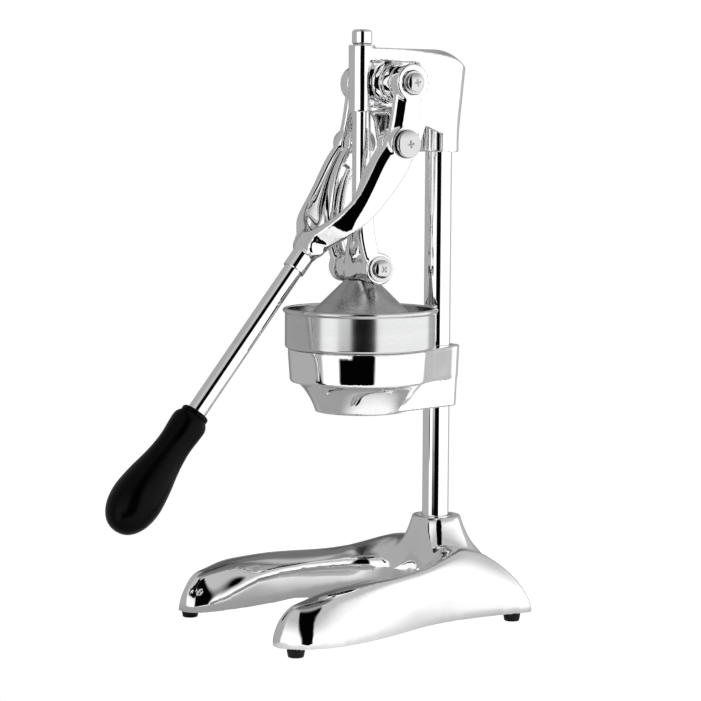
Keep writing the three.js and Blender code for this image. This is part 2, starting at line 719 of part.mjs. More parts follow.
// Strainer: a fluted dome with drain slots, its rim resting where the cup's seat begins to narrow
const domeShares = [[1, 0], [0.94, 0.05], [0.78, 0.3], [0.55, 0.6], [0.33, 0.87], [0.18, 0.97], [0, 1]]
const domeRise = strainerDomeTop - strainerSeat
const domeOuter = domeShares.map(([out, high]) => [out * strainerSkirtRadius, strainerSeat + high * domeRise])
const domeInner = domeOuter.map(([radius, height]) => {
  return radius > 0 ? [radius - strainerWall, height] : [0, height - strainerWall]
}).reverse()
const fluteOuterRadius = strainerSkirtRadius - strainerWall - fluteDepth
function fluted (geometry) {
  const places = geometry.getAttribute('position')
  for (let i = 0; i < places.count; i++) {
    const [x, y, z] = [places.getX(i), places.getY(i), places.getZ(i)]
    const radius = Math.hypot(x, y)
    if (radius < strainerNoseRadius || radius > fluteOuterRadius) continue
    const wave = (1 - Math.cos(fluteCount * Math.atan2(y, x))) / 2
    const share = 1 - wave * fluteDepth / radius
    places.setXYZ(i, x * share, y * share, z)
  }
  return geometry
}
const facetsPerFlute = 4
const rimUpper = strainerSeat + strainerWall
const strainerBody = solid(fluted(turnedGeometry([...domeInner, [strainerRimRadius, strainerSeat],
  [strainerRimRadius, rimUpper], [strainerSkirtRadius, rimUpper], ...domeOuter.slice(1)],
fluteCount * facetsPerFlute)))
const slotTools = []
for (let i = 0; i < slotCount; i++) {
  const angle = 2 * Math.PI * i / slotCount
  const outward = new THREE.Vector3(Math.cos(angle), Math.sin(angle), 0)
  const place = frame(outward, up.clone().cross(outward), up)
  const halfSlot = strainerSlotWidth / 2
  const outline = [[slotStart, -halfSlot], [slotStart + strainerSlotLength, -halfSlot],
    [slotStart + strainerSlotLength, halfSlot], [slotStart, halfSlot]]
  slotTools.push(plate(outline, rimUpper + strainerWall, strainerDomeTop, place))
}
put('strainer', cut(strainerBody, ...slotTools), brushedSteel)

// Press rod with a stud for the cap above and a threaded tail below
const rodTop = guideTop
const studTop = rodTop + rodStudLength
put('press_rod', turned([[0, rodTailBottom], [rodTailRadius, rodTailBottom],
  [rodTailRadius, rodShoulderHeight], [rodRadius, rodShoulderHeight], [rodRadius, rodTop],
  [rodStudRadius, rodTop], [rodStudRadius, studTop], [0, studTop]], mediumFacets), chrome)
const capBore = rodStudRadius + clearance
const capCrownShares = [
  // inward from the cap's radius and down from its top, as shares of the cap's edge
  [0, 1.5], [0.5, 0.5], [1.6, 0]
]
const capCrown = capCrownShares.map(([inward, down]) => {
  return [capRadius - inward * capEdge, overallHeight - down * capEdge]
})
put('rod_cap', turned([[capBore, capBottom], [capRadius - capEdge, capBottom],
  [capRadius, capBottom + capEdge], ...capCrown, [0, overallHeight], [0, studTop + clearance],
  [capBore, studTop + clearance], [capBore, capBottom]], mediumFacets), chrome)

// Crosshead: a cast block on the rod's tail that carries both lower pivots
const neckShares = [[0, 0], [0.72, 0], [1, 0.07], [1, 0.5], [0.92, 0.66], [0.82, 0.8]]
const crossheadProfile = neckShares.map(([out, high]) => {
  return [out * crossheadBodyRadius, crossheadBottom + high * crossheadRise]
})
const crossheadBody = turned([...crossheadProfile, [crossheadNeckRadius, crossheadTop], [0, crossheadTop]],
  mediumFacets)
const lowerPivot = side => sideways(side, 0, lowerPivotHeight)
const crossheadEye = bar(crossheadEyeRadius, -crossheadHalfWidth, crossheadHalfWidth, mediumFacets,
  lowerPivot(1))
const eyeFlat = block([-columnSetback, -columnSetback, 0], [columnSetback, columnSetback, crossheadBottom])
const lowerScrewTip = crossheadHalfWidth - lowerScrewBite
const lowerHoles = sides.map(([, side]) => {
  const outside = crossheadHalfWidth + cutOverrun
  return bar(shankBore, lowerScrewTip - clearance, outside, smallFacets, lowerPivot(side))
})
put('crosshead', cut(add(crossheadBody, crossheadEye), eyeFlat,
  bar(rodTailRadius + clearance, crossheadBottom - cutOverrun, rodShoulderHeight, mediumFacets),
  bar(rodRadius + clearance, rodShoulderHeight - clearance, crossheadTop + cutOverrun, mediumFacets),
  ...lowerHoles), polishedCasting)

// Press cone: a spun bell clamped under the crosshead by a nut
const coneTop = crossheadBottom - clearance
const coneFall = coneRadius - coneCollarRadius
const skirtTop = coneTop - coneFall
const slant = coneWall * (Math.SQRT2 - 1)
const coneHollowShare = 0.49
const coneMiddle = (coneCollarRadius + coneRadius) / 2
const coneMiddleHeight = coneTop - coneFall * coneHollowShare
const coneInside = coneRadius - coneWall
const coneBore = rodTailRadius + clearance
put('press_cone', turned([[coneBore, coneTop], [coneCollarRadius, coneTop], [coneMiddle, coneMiddleHeight],
  [coneRadius, skirtTop], [coneRadius, skirtTop - coneSkirt], [coneInside, skirtTop - coneSkirt],
  [coneInside, skirtTop - slant], [coneMiddle - coneWall, coneMiddleHeight - slant],
  [coneCollarRadius - slant, coneTop - coneWall], [coneBore, coneTop - coneWall], [coneBore, coneTop]],
largeFacets), brushedSteel)
const nutTop = coneTop - coneWall - clearance
const nutHex = bar(headCorner(coneNutFlats / 2), nutTop - coneNutHeight, nutTop, hexagonFacets)
const nutBore = bar(coneBore, nutTop - coneNutHeight - cutOverrun, nutTop + cutOverrun, smallFacets)
put('cone_nut', nutHex.subtract(nutBore), zincSteel)

// The mid pivot lies on the line from the top pivot to the lower one, as the press is closed
const pivotLine = new THREE.Vector2(-topPivotSetback, lowerPivotHeight - topPivotHeight).normalize()
const midSetback = topPivotSetback + crankRadius * pivotLine.x
const midHeight = topPivotHeight + crankRadius * pivotLine.y
const midPivot = side => sideways(side, midSetback, midHeight)

// Links: bowed bars between the mid and lower pivots, hollowed along their inner faces
const linkOuterFace = linkInnerFace + linkThickness
const linkSteps = 12
const linkFacets = 12
const linkPocketFacets = 8
const linkCornerPower = 0.6
const linkSpan = Math.hypot(midSetback, midHeight - lowerPivotHeight)
const linkAlong = new THREE.Vector3(0, midSetback, midHeight - lowerPivotHeight).normalize()
const linkForward = new THREE.Vector3(0, -linkAlong.z, linkAlong.y)
// The stations keep their outer faces at one distance from the middle of the press
function linkStations (from, to, side, outerFace, halfWidth, thicknessAt) {
  const stations = []
  for (let i = 0; i <= linkSteps; i++) {
    const share = mixed(from, to, i / linkSteps)
    const bow = Math.max(0, Math.sin(share * Math.PI)) ** linkBowPower
    const thickness = thicknessAt(bow)
    const centre = new THREE.Vector3(side * (outerFace - thickness / 2), 0, lowerPivotHeight)
    centre.addScaledVector(linkAlong, share * linkSpan).addScaledVector(linkForward, bow * linkBow)
    const width = halfWidth * mixed(1, linkWaistShare, bow)
    stations.push({ centre, halfWidth: width, halfThickness: thickness / 2 })
  }
  return stations
}
for (const [name, side] of sides) {
  const whole = linkStations(0, 1, side, linkOuterFace, linkHalfWidth,
    bow => mixed(linkThickness, linkWaistThickness, bow ** linkSwellPower))
  const pocketOuter = linkOuterFace - linkWaistThickness + linkPocketDepth
  const pocket = linkStations(linkPocketStartShare, 1 - linkPocketStartShare, side, pocketOuter,
    linkPocketHalfWidth, () => 2 * linkPocketDepth)
  const bored = place => {
    return bar(shankBore, linkInnerFace - cutOverrun, linkOuterFace + cutOverrun, smallFacets, place)
  }
  const eyes = [midPivot(side), lowerPivot(side)].map(place => {
    return bar(linkEyeRadius, linkInnerFace, linkOuterFace, mediumFacets, place)
  })
  const body = cut(add(sweep(whole, linkForward, linkFacets, linkCornerPower), ...eyes),
    sweep(pocket, linkForward, linkPocketFacets, linkCornerPower),
    bored(midPivot(side)), bored(lowerPivot(side)))
  put('link_' + name, body, chrome)
}

// Fork of the lever: two arms from the top eyes past the mid eyes that close on the socket for the bar
const downBar = new THREE.Vector3(0, -Math.cos(leverSlope), -Math.sin(leverSlope))
const forkNormal = new THREE.Vector3(0, -downBar.z, downBar.y)
const armMiddle = armInnerFace + armThickness / 2
const armFacets = 14
const armCornerPower = 0.75
const upperArmShares = [[0, 0.8], [0.3, 0.77], [0.62, 0.79], [0.88, 0.88]]
const lowerArmShares = [
  // along the fork, x share of the arm's middle, half width, half thickness, offset behind the pivot
  [0.08, 1, 1.02, 1, 0.1], [0.2, 1, 1.07, 1, 0.2], [0.33, 1, 1, 0.99, 0.27], [0.46, 0.995, 0.88, 0.96, 0.33],
  [0.57, 0.97, 0.8, 0.94, 0.34], [0.67, 0.89, 0.75, 0.95, 0.29], [0.76, 0.74, 0.72, 1, 0.23],
  [0.84, 0.5, 0.7, 1.06, 0.19], [0.91, 0.24, 0.69, 1.12, 0.18], [0.96, 0, 0.68, 1.16, 0.18]
]
function armStations (side) {
  const stations = upperArmShares.map(([share, width]) => ({
    centre: new THREE.Vector3(side * armMiddle, mixed(topPivotSetback, midSetback, share),
      mixed(topPivotHeight, midHeight, share)),
    width: back,
    halfWidth: topEyeRadius * width,
    halfThickness: armThickness / 2
  }))
  for (const [along, out, width, thick, rearShift] of lowerArmShares) {
    const centre = new THREE.Vector3(side * armMiddle * out, midSetback, midHeight)
    centre.addScaledVector(downBar, along * forkLength).addScaledVector(forkNormal, rearShift * midEyeRadius)
    stations.push({ centre, halfWidth: midEyeRadius * width, halfThickness: armThickness / 2 * thick })
  }
  return stations
}
const socketTop = new THREE.Vector3(0, midSetback, midHeight).addScaledVector(downBar, forkLength)
socketTop.addScaledVector(forkNormal, barOffset)
const socketPlace = frame(right.clone().negate(), forkNormal, downBar, socketTop)
const forkArms = sides.map(([, side]) => sweep(armStations(side), forkNormal, armFacets, armCornerPower))
const forkEyes = sides.flatMap(([, side]) => [
  bar(topEyeRadius, armInnerFace, armInnerFace + armThickness, mediumFacets, topPivot(side)),
  bar(midEyeRadius, armInnerFace, armInnerFace + armThickness, mediumFacets, midPivot(side))
])
const armOuterFace = armInnerFace + armThickness
const pastArm = armOuterFace + cutOverrun
const forkHoles = sides.flatMap(([, side]) => [
  bar(shankBore, armInnerFace - cutOverrun, pastArm, smallFacets, topPivot(side)),
  bar(topBushRadius + clearance, armOuterFace - topBushLength, pastArm, mediumFacets, topPivot(side)),
  bar(shankBore, armInnerFace + midScrewSkin, pastArm, smallFacets, midPivot(side))
])
const socket = bar(socketRadius, -socketRadius, socketLength, mediumFacets, socketPlace)
const fork = cut(
  add(...forkArms, ...forkEyes, socket),
  bar(barRadius + clearance, socketWallEnd, socketLength + cutOverrun, mediumFacets, socketPlace),
  ...forkHoles)
put('fork', fork, chrome)

// Handle bar, from inside the socket to inside the grip
const barStart = socketWallEnd + clearance
const barEnd = barStart + barLength
put('handle_bar', bar(barRadius, barStart, barEnd, mediumFacets, socketPlace), chrome)

// Grip, with a separate ring where it meets the bar
const gripShares = [
  // along the grip, radius share
  [0, 0.52], [0.03, 0.66], [0.075, 0.7], [0.16, 0.675], [0.26, 0.66], [0.4, 0.74], [0.53, 0.875],
  [0.64, 0.965], [0.73, 1], [0.82, 0.95], [0.9, 0.8], [0.96, 0.56], [0.99, 0.32], [1, 0]
]
const gripOuter = gripShares.map(([along, out]) => [out * gripRadius, gripStart + along * gripLength])
const gripBoreRadius = barRadius + clearance
const gripBoreEnd = barEnd + clearance
put('grip', turned([[gripBoreRadius, gripStart], ...gripOuter, [0, gripBoreEnd],
  [gripBoreRadius, gripBoreEnd], [gripBoreRadius, gripStart]], mediumFacets, socketPlace), blackPlastic)
const ringEnd = gripStart - clearance
const ringStart = ringEnd - gripRingLength
const ringEdge = gripRingLength / 4
put('grip_ring', turned([[gripBoreRadius, ringStart], [gripRingRadius - ringEdge, ringStart],
  [gripRingRadius, ringStart + ringEdge], [gripRingRadius, ringEnd], [gripBoreRadius, ringEnd],
  [gripBoreRadius, ringStart]], mediumFacets, socketPlace), blackPlastic)

// Pivot screws, bushes and washers on both sides
for (const [name, side] of sides) {
  const bushInner = armOuterFace - topBushLength + clearance
  const bushOuter = armOuterFace + topBushStand
  put('top_pivot_bush_' + name, tube(shankBore, topBushRadius, bushInner, bushOuter, smallFacets,
    topPivot(side)), chrome)
  put('top_pivot_screw_' + name, panScrew(topScrewHeadRadius, bushOuter + clearance, topScrewTip,
    topPivot(side)), chrome)
  const midFace = armOuterFace + clearance
  const midWasherEnd = midFace + midWasherThickness
  put('mid_pivot_washer_' + name, tube(shankBore, midWasherRadius, midFace, midWasherEnd, smallFacets,
    midPivot(side)), chrome)
  const spacerFace = midWasherEnd + clearance
  const spacerEnd = spacerFace + midWasherThickness
  put('mid_pivot_spacer_' + name, tube(shankBore, midSpacerRadius, spacerFace, spacerEnd, smallFacets,
    midPivot(side)), blackPlastic)
  const midTip = armInnerFace + midScrewSkin + clearance
  put('mid_pivot_screw_' + name, panScrew(midScrewHeadRadius, spacerEnd + clearance, midTip,
    midPivot(side)), chrome)
  const washerFace = linkOuterFace + clearance
  const washerEnd = washerFace + lowerWasherThickness
  put('lower_pivot_washer_' + name, tube(shankBore, lowerWasherRadius, washerFace, washerEnd, smallFacets,
    lowerPivot(side)), chrome)
  put('lower_pivot_screw_' + name, panScrew(lowerScrewHeadRadius, washerEnd + clearance, lowerScrewTip,
    lowerPivot(side)), chrome)
}

// The press stands on Z = 0 with the middle of its outline at the origin
const reach = new THREE.Box3().setFromObject(press, true)
press.position.y = -(reach.min.y + reach.max.y) / 2

export default press
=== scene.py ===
# A hand citrus press in polished castings and chromed steel, dressed piece by piece round its solid model.
import itertools
import math

import bpy
import numpy as np
from mathutils import Matrix, Vector


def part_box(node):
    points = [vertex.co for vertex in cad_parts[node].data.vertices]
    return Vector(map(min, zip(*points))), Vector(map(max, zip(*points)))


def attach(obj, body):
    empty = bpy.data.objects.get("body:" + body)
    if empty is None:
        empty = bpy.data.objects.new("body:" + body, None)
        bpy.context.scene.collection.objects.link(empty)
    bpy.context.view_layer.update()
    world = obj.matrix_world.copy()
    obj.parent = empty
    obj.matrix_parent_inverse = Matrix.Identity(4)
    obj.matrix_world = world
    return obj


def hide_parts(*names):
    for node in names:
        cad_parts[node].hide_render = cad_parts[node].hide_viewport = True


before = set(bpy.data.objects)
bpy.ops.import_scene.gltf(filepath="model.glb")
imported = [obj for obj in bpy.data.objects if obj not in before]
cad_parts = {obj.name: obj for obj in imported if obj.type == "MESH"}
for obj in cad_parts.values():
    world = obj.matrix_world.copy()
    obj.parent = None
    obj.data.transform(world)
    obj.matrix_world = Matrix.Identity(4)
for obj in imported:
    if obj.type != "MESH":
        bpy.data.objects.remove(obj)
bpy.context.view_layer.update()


# Base casting. A horseshoe of die-cast metal, hollow below, with a flared boss for the column at its rear.
# It is ground smooth, polished and chromed, so every edge is soft and the skin still rolls a little.
# Lengths are millimetres from the press rod's axis: x to the right, y to the back, z up from the table.
mm = 0.001
tiny = 1e-9
rod_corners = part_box("press_rod")
rod_axis = np.array([0, (rod_corners[0].y + rod_corners[1].y) / 2 / mm, 0])


def measured(node):
    """Lowest and highest corner of one solid, in millimetres from the press rod's axis."""
    low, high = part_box(node)
    return np.array(low) / mm - rod_axis, np.array(high) / mm - rod_axis


def middle_of(node):
    return sum(measured(node)) / 2


def upright_of(node):
    """Half width, bottom and top of one solid."""
    low, high = measured(node)
    return high[0], low[2], high[2]


def unit(rows):
    """The same directions, each of length one."""
    return rows / np.maximum(np.linalg.norm(rows, axis=-1, keepdims=True), tiny)


def join(body, *others):
    """All bodies as one. Each further one comes with the fillet in the corner that it makes."""
    for other, fillet in others:
        near = np.maximum(fillet - np.abs(body - other), 0) / fillet
        body = np.minimum(body, other) - near ** 3 * fillet / 6
    return body


def common(body, *others):
    """Only what lies in all bodies. Each further one comes with the size of its rounded edge."""
    return -join(-body, *[(-other, edge) for other, edge in others])


def cut(body, *holes):
    """The body without its holes. Each comes with the size of its rounded edge."""
    return common(body, *[(-hole, edge) for hole, edge in holes])


def curve_through(points, steps):
    """Rows on a smooth curve through rows of numbers, with that many steps between each two."""
    rows = np.asarray(points, float)
    last = len(rows) - 1
    spread = 4 * np.eye(last - 1) + np.eye(last - 1, k=1) + np.eye(last - 1, k=-1)
    bend = np.zeros_like(rows)
    bend[1:-1] = np.linalg.solve(spread, 6 * (rows[2:] - 2 * rows[1:-1] + rows[:-2]))
    place = np.linspace(0, last, last * steps + 1)
    first = np.minimum(place.astype(int), last - 1)
    on = (place - first)[:, None]
    off = 1 - on
    curved = (on ** 3 - on) * bend[first + 1] + (off ** 3 - off) * bend[first]
    return rows[first] * off + rows[first + 1] * on + curved / 6


def steepness(body, places):
    """Depth of each place inside a body, and the direction in which it leaves the body."""
    reach = 0.02
    slopes = []
    for axis in np.eye(3) * reach:
        ahead, behind = places + axis, places - axis
        slopes.append((body(*ahead.T) - body(*behind.T)) / (2 * reach))
    return body(*places.T), np.stack(slopes, axis=1)


def cast(body, low, high, pitch, polish=1):
    """Pours a body: the skin where its depth is zero, as quads of about one pitch, and its normals."""
    pulls, flattest, longest_pull = 4, 0.05, pitch / 3
    axes = [np.arange(low[i], high[i] + pitch, pitch) for i in range(3)]
    depth = body(*np.meshgrid(*axes, indexing="ij", sparse=True))
    inside = (depth < 0).astype(int)
    corners = np.array(list(itertools.product((0, 1), repeat=3)))
    size = np.array(depth.shape) - 1
    filled = sum(inside[tuple(map(slice, corner, corner + size))] for corner in corners)
    cells = np.argwhere((filled > 0) & (filled < len(corners)))
    number = np.full(filled.shape, -1)
    number[tuple(cells.T)] = np.arange(len(cells))
    total = np.zeros((len(cells), 3))
    hits = np.zeros((len(cells), 1))
    faces = []
    for axis, step in enumerate(np.eye(3, dtype=int)):
        for corner in corners[corners[:, axis] == 0]:
            start = depth[tuple((cells + corner).T)]
            end = depth[tuple((cells + corner + step).T)]
            crosses = ((start < 0) != (end < 0))[:, None]
            share = start / np.where(start == end, 1, start - end)
            total += np.where(crosses, cells + corner + share[:, None] * step, 0)
            hits += crosses
        beside, above = np.roll(step, 1), np.roll(step, 2)
        change = np.diff(inside, axis=axis)
        spots = np.argwhere(change)
        round_edge = [spots - beside - above, spots - above, spots, spots - beside]
        quads = np.stack([number[tuple(spot.T)] for spot in round_edge], axis=1)
        leaving = change[tuple(spots.T)] < 0
        faces.append(np.where(leaving[:, None], quads, quads[:, ::-1]))
    faces = np.concatenate(faces)
    places = pitch * total / hits + low
    for _ in range(pulls):
        here, slope = steepness(body, places)
        pull = -(here / np.maximum((slope ** 2).sum(1), flattest))[:, None] * slope
        length = np.linalg.norm(pull, axis=1, keepdims=True)
        places += pull * np.minimum(1, longest_pull / np.maximum(length, tiny))
    normals = unit(steepness(body, places)[1])
    for _ in range(polish):
        eased = normals.copy()
        np.add.at(eased, faces.ravel(), normals[np.roll(faces, 1, axis=1).ravel()])
        normals = unit(eased)
    return places, faces, normals


def shaped(name, places, faces, normals, finish):
    """A piece from its skin, given in millimetres from the press rod's axis."""
    mesh = bpy.data.meshes.new(name)
    mesh.from_pydata(((places + rod_axis) * mm).tolist(), [], [list(face) for face in faces])
    mesh.shade_smooth()
    mesh.materials.append(finish.owner)
    mesh.update()
    if normals is not None:
        mesh.normals_split_custom_set_from_vertices(normals.tolist())
    piece = bpy.data.objects.new(name, mesh)
    bpy.context.scene.collection.objects.link(piece)
    return piece


def poured(name, node, body, pitch, finish, polish=1):
    """A casting in the place of its solid."""
    low, high = measured(node)
    margin = 2.5 * pitch
    return shaped(name, *cast(body, low - margin, high + margin, pitch, polish), finish)


def fitted(piece, body, slot, *nodes):
    """Hangs a piece on its body, in place of the solids that it stands for."""
    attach(piece, body)
    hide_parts(*nodes)


class Value:
    """A socket of a finish's nodes, so that sums on it add the Math nodes."""

    def __init__(self, finish, node, socket):
        self.finish = finish
        self.node = node
        self.socket = socket

    def math(self, operation, *others):
        sockets = dict(enumerate((self, *others)))
        return self.finish.node("ShaderNodeMath", {"operation": operation}, sockets)

    def beside(self, name):
        """Another output of the same node."""
        return Value(self.finish, self.node, self.node.outputs[name])

    def __add__(self, other):
        return self.math("ADD", other)

    def __mul__(self, other):
        return self.math("MULTIPLY", other)

    def __sub__(self, other):
        return self.math("SUBTRACT", other)

    def __rsub__(self, other):
        return self.math("MULTIPLY", -1).math("ADD", other)

    def __pow__(self, other):
        return self.math("POWER", other)

    __radd__ = __add__
    __rmul__ = __mul__


class Finish:
    """The nodes of one material, or of the light all round."""

    def __init__(self, name, kind="materials"):
        self.owner = getattr(bpy.data, kind).new(name)
        self.owner.use_nodes = True
        self.nodes = self.owner.node_tree.nodes
        self.links = self.owner.node_tree.links
        self.nodes.clear()

    def node(self, kind, settings, sockets, output=0):
        made = self.nodes.new(kind)
        for name, setting in settings.items():
            setattr(made, name, setting)
        for name, given in sockets.items():
            if isinstance(given, Value):
                self.links.new(given.socket, made.inputs[name])
            else:
                made.inputs[name].default_value = given
        return Value(self, made, made.outputs[output]) if made.outputs else made

    def place(self):
        """Where a spot lies on the piece, in metres. It moves with the piece."""
        return self.node("ShaderNodeTexCoord", {}, {}, "Object")

    def noise(self, scale, detail=2, roughness=0.5, place=None):
        sockets = {"Vector": place or self.place(), "Scale": scale, "Detail": detail, "Roughness": roughness}
        return self.node("ShaderNodeTexNoise", {}, sockets, "Fac")

    def ramp(self, value, start, end, low=0, high=1):
        settings = {"interpolation_type": "SMOOTHSTEP"}
        sockets = {"Value": value, "From Min": start, "From Max": end, "To Min": low, "To Max": high}
        return self.node("ShaderNodeMapRange", settings, sockets)

    def tint(self, mask, a, b):
        """One colour where the mask is 0, drawn over to the other where it is 1."""
        return self.node("ShaderNodeMix", {"data_type": "RGBA"}, {0: mask, 6: (*a, 1), 7: (*b, 1)}, 2)

    def grey(self, value):
        return self.node("ShaderNodeCombineColor", {}, {"Red": value, "Green": value, "Blue": value})

    def relief(self, height, depth, strength=1):
        return self.node("ShaderNodeBump", {}, {"Height": height, "Distance": depth, "Strength": strength})

    def surface(self, sockets):
        coat = self.node("ShaderNodeBsdfPrincipled", {}, sockets)
        self.node("ShaderNodeOutputMaterial", {}, {"Surface": coat})
        return self


def mirror_chrome(name, roll, roll_size, haze, bright=0.9):
    """Bright chrome. The skin below it rolls softly, and fine wiping marks dull it a little."""
    finish = Finish(name)
    gloss = 0.025
    clean, wiped = np.array([1, 1, 1.006]) * bright, np.array([0.95, 0.95, 0.96]) * bright
    rolling = finish.noise(scale=1 / (roll_size * mm), detail=1)
    wiping = finish.noise(scale=900, detail=3, roughness=0.7)
    patches = finish.ramp(finish.noise(scale=35), start=0.4, end=0.72)
    return finish.surface({
        "Base Color": finish.tint(patches, clean, wiped),
        "Metallic": 1.0,
        "Roughness": patches * wiping * haze + gloss,
        "Normal": finish.relief(rolling, roll * mm),
    })


casting_chrome = mirror_chrome("casting_chrome", roll=0.5, roll_size=46, haze=0.05)

base_low, base_high = measured("base")
half_base, base_rear, boss_top = base_high
toe_reach, underside = -base_low[1], base_low[2]
column_radius, column_bottom, column_top = upright_of("column")
column_setback = middle_of("column")[1]
arch_setback = 45.5
crest_height, lip_height = 47, 37
base_wall = 5
boss_radius, boss_spread = 19, 2.4
dish_run, dish_widening, dish_half = 0.14, 0.0008, 40
dish_front, dish_fall = 25, 0.5
front_foot, rear_foot = (80, -100), (52, 103.5)
pillar_radius = 10
washer_radius, washer_top, bolt_top = 11.5, 14.2, 22
hole_gap = 0.3
flank_fullness, flank_slope, flank_limit = 1.8, 0.94, 1.4
ridge_edge = 3.2
station_shares = [
    # outer x and y, inner x and y, lip height, crest place, crest height, brow fullness,
    # ridge place, ridge height, ridge sharpness
    [0.82, -1, 0.72, -0.995, 0.26, 0.4, 0.31, 2.3, 0.62, 0.23, 1],
    [0.893, -0.952, 0.656, -0.958, 0.33, 0.45, 0.54, 2.3, 0.71, 0.4, 1],
    [0.955, -0.868, 0.612, -0.89, 0.39, 0.45, 0.72, 2.3, 0.72, 0.59, 1],
    [0.99, -0.763, 0.582, -0.8, 0.46, 0.45, 0.8, 2.3, 0.74, 0.7, 1],
    [0.998, -0.64, 0.56, -0.685, 0.6, 0.46, 0.88, 2.3, 0.765, 0.81, 1],
    [0.972, -0.48, 0.546, -0.54, 0.82, 0.47, 0.93, 2.3, 0.77, 0.865, 1],
    [0.915, -0.31, 0.525, -0.35, 0.96, 0.52, 0.96, 2.3, 0.775, 0.91, 1],
    [0.832, -0.12, 0.505, -0.17, 1.02, 0.6, 0.965, 2.3, 0.79, 0.935, 1],
    [0.737, 0.07, 0.474, 0.02, 1.04, 0.66, 0.975, 2.3, 0.81, 0.955, 0.8],
    [0.663, 0.25, 0.421, 0.18, 1.055, 0.66, 1.03, 2.2, 0.82, 1.0, 0.4],
    [0.625, 0.43, 0.347, 0.28, 1.065, 0.6, 1.13, 2.1, 0.76, 1.1, 0.1],
    [0.612, 0.61, 0.263, 0.34, 1.045, 0.52, 1.2, 2, 0.7, 1.15, 0],
    [0.622, 0.79, 0.179, 0.37, 1.02, 0.46, 1.2, 1.85, 0.6, 1.15, 0],
    [0.644, 0.95, 0.126, 0.382, 0.995, 0.43, 1.14, 1.72, 0.6, 1.1, 0],
    [0.605, 1, 0.09, 0.387, 0.97, 0.42, 1.04, 1.7, 0.6, 1, 0],
    [0.44, 1, 0.06, 0.39, 0.96, 0.48, 1, 1.75, 0.6, 0.95, 0],
    [0.22, 1, 0.03, 0.392, 0.95, 0.56, 1, 1.8, 0.65, 0.95, 0],
    [0, 1, 0, arch_setback / base_rear, 0.95, 0.6, 1, 1.8, 0.7, 0.95, 0]]
stretch_steps = 16
boss_slope = curve_through([
    # out from the column's axis and up, as shares of the boss's radius and height
    [0.9, 1.2], [0.97, 1.04], [1.06, 0.94], [1.2, 0.85], [1.46, 0.73], [1.85, 0.61], [2.15, 0.47],
    [2.4, 0.2], [2.6, -0.3]], steps=8) * [boss_radius, boss_top]
# How far the lower edge inside the horseshoe is lifted, at places from the toes back to the arch.
lift_places = [-100, -81, -65, -43, -24, -3, 20, arch_setback]
lift_heights = [0, 1, 1.8, 3.6, 6, 8.5, 11, 13]
lift_share, lift_slope = 0.55, 0.9


def horseshoe_track():
    """Crossings of the right half, closely spaced, with their places and heights in millimetres."""
    rows = np.array(station_shares, float)
    rows[:, [0, 2]] *= half_base
    rows[:, [1, 3]] *= np.where(rows[:, [1, 3]] < 0, toe_reach, base_rear)
    rows[:, 4] *= lip_height
    rows[:, [6, 9]] *= crest_height
    mirror = np.ones(rows.shape[1])
    mirror[[0, 2]] = -1
    whole = curve_through(np.vstack([rows, rows[-2::-1] * mirror]), stretch_steps)
    return whole[:(len(rows) - 1) * stretch_steps + 1]


track = horseshoe_track()
track_heading = unit(track[:, 0:2] - track[:, 2:4])


def beside_track(index, x, y):
    """How far spots lie behind a crossing's line."""
    heading, inner = track_heading[index], track[index, 2:4]
    return heading[..., 0] * (y - inner[..., 1]) - heading[..., 1] * (x - inner[..., 0])


def on_horseshoe(x, y):
    """The crossing that each spot lies on, how far out along it, and how far in front of the toe's end."""
    stations = np.arange(0, len(track), stretch_steps)
    ahead = beside_track(stations, x[..., None], y[..., None]) < 0
    ahead[..., -1] = True
    far = np.maximum(ahead.argmax(axis=-1), 1) * stretch_steps
    near = far - stretch_steps
    for _ in range(int(math.log2(stretch_steps))):
        middle = (near + far) // 2
        behind = beside_track(middle, x, y) > 0
        near = np.where(behind, middle, near)
        far = np.where(behind, far, middle)
    start, end = beside_track(near, x, y), beside_track(far, x, y)
    share = np.clip(start / np.where(start == end, 1, start - end), 0, 1)[..., None]
    row = track[near] * (1 - share) + track[far] * share
    across = row[..., 0:2] - row[..., 2:4]
    width = np.linalg.norm(across, axis=-1)
    out = ((x - row[..., 2]) * across[..., 0] + (y - row[..., 3]) * across[..., 1]) / width
    return row, out, width, -beside_track(0, x, y)


def horseshoe(row, out, width, z):
    """The legs and shoulders: an inner slope up to the crest, then a brow, or a ridge and a flank."""
    lip, crest_place, crest, fullness, ridge_place, ridge, sharpness = (row[..., i] for i in range(4, 11))
    faint = 1e-7
    share = out / width
    rise = np.sin(np.clip(share / crest_place, 0, 1) * math.pi / 2)
    inner_slope = z - (lip + (crest - lip) * rise)
    over = np.maximum((share - crest_place) / (1 - crest_place), 0)
    up = np.maximum(z - underside, 0) / (crest - underside)
    full = (over ** fullness + up ** fullness + tiny) ** (1 / fullness)
    across = (over / full) ** (fullness - 1) / (width * (1 - crest_place))
    upward = (up / full) ** (fullness - 1) / (crest - underside)
    brow = (full - 1) / np.sqrt(across ** 2 + upward ** 2 + faint)
    fall = np.maximum((share - crest_place) / (ridge_place - crest_place), 0) ** 2
    crown = z - (crest - (crest - ridge) * fall)
    climb = np.clip((z - underside) / (ridge - underside), 0, flank_limit)
    flank = (out - width * (1 - (1 - ridge_place) * climb ** flank_fullness)) * flank_slope
    beyond = brow + (common(crown, (flank, ridge_edge)) - brow) * sharpness
    return np.where(share < crest_place, np.maximum(inner_slope, flank), beyond)


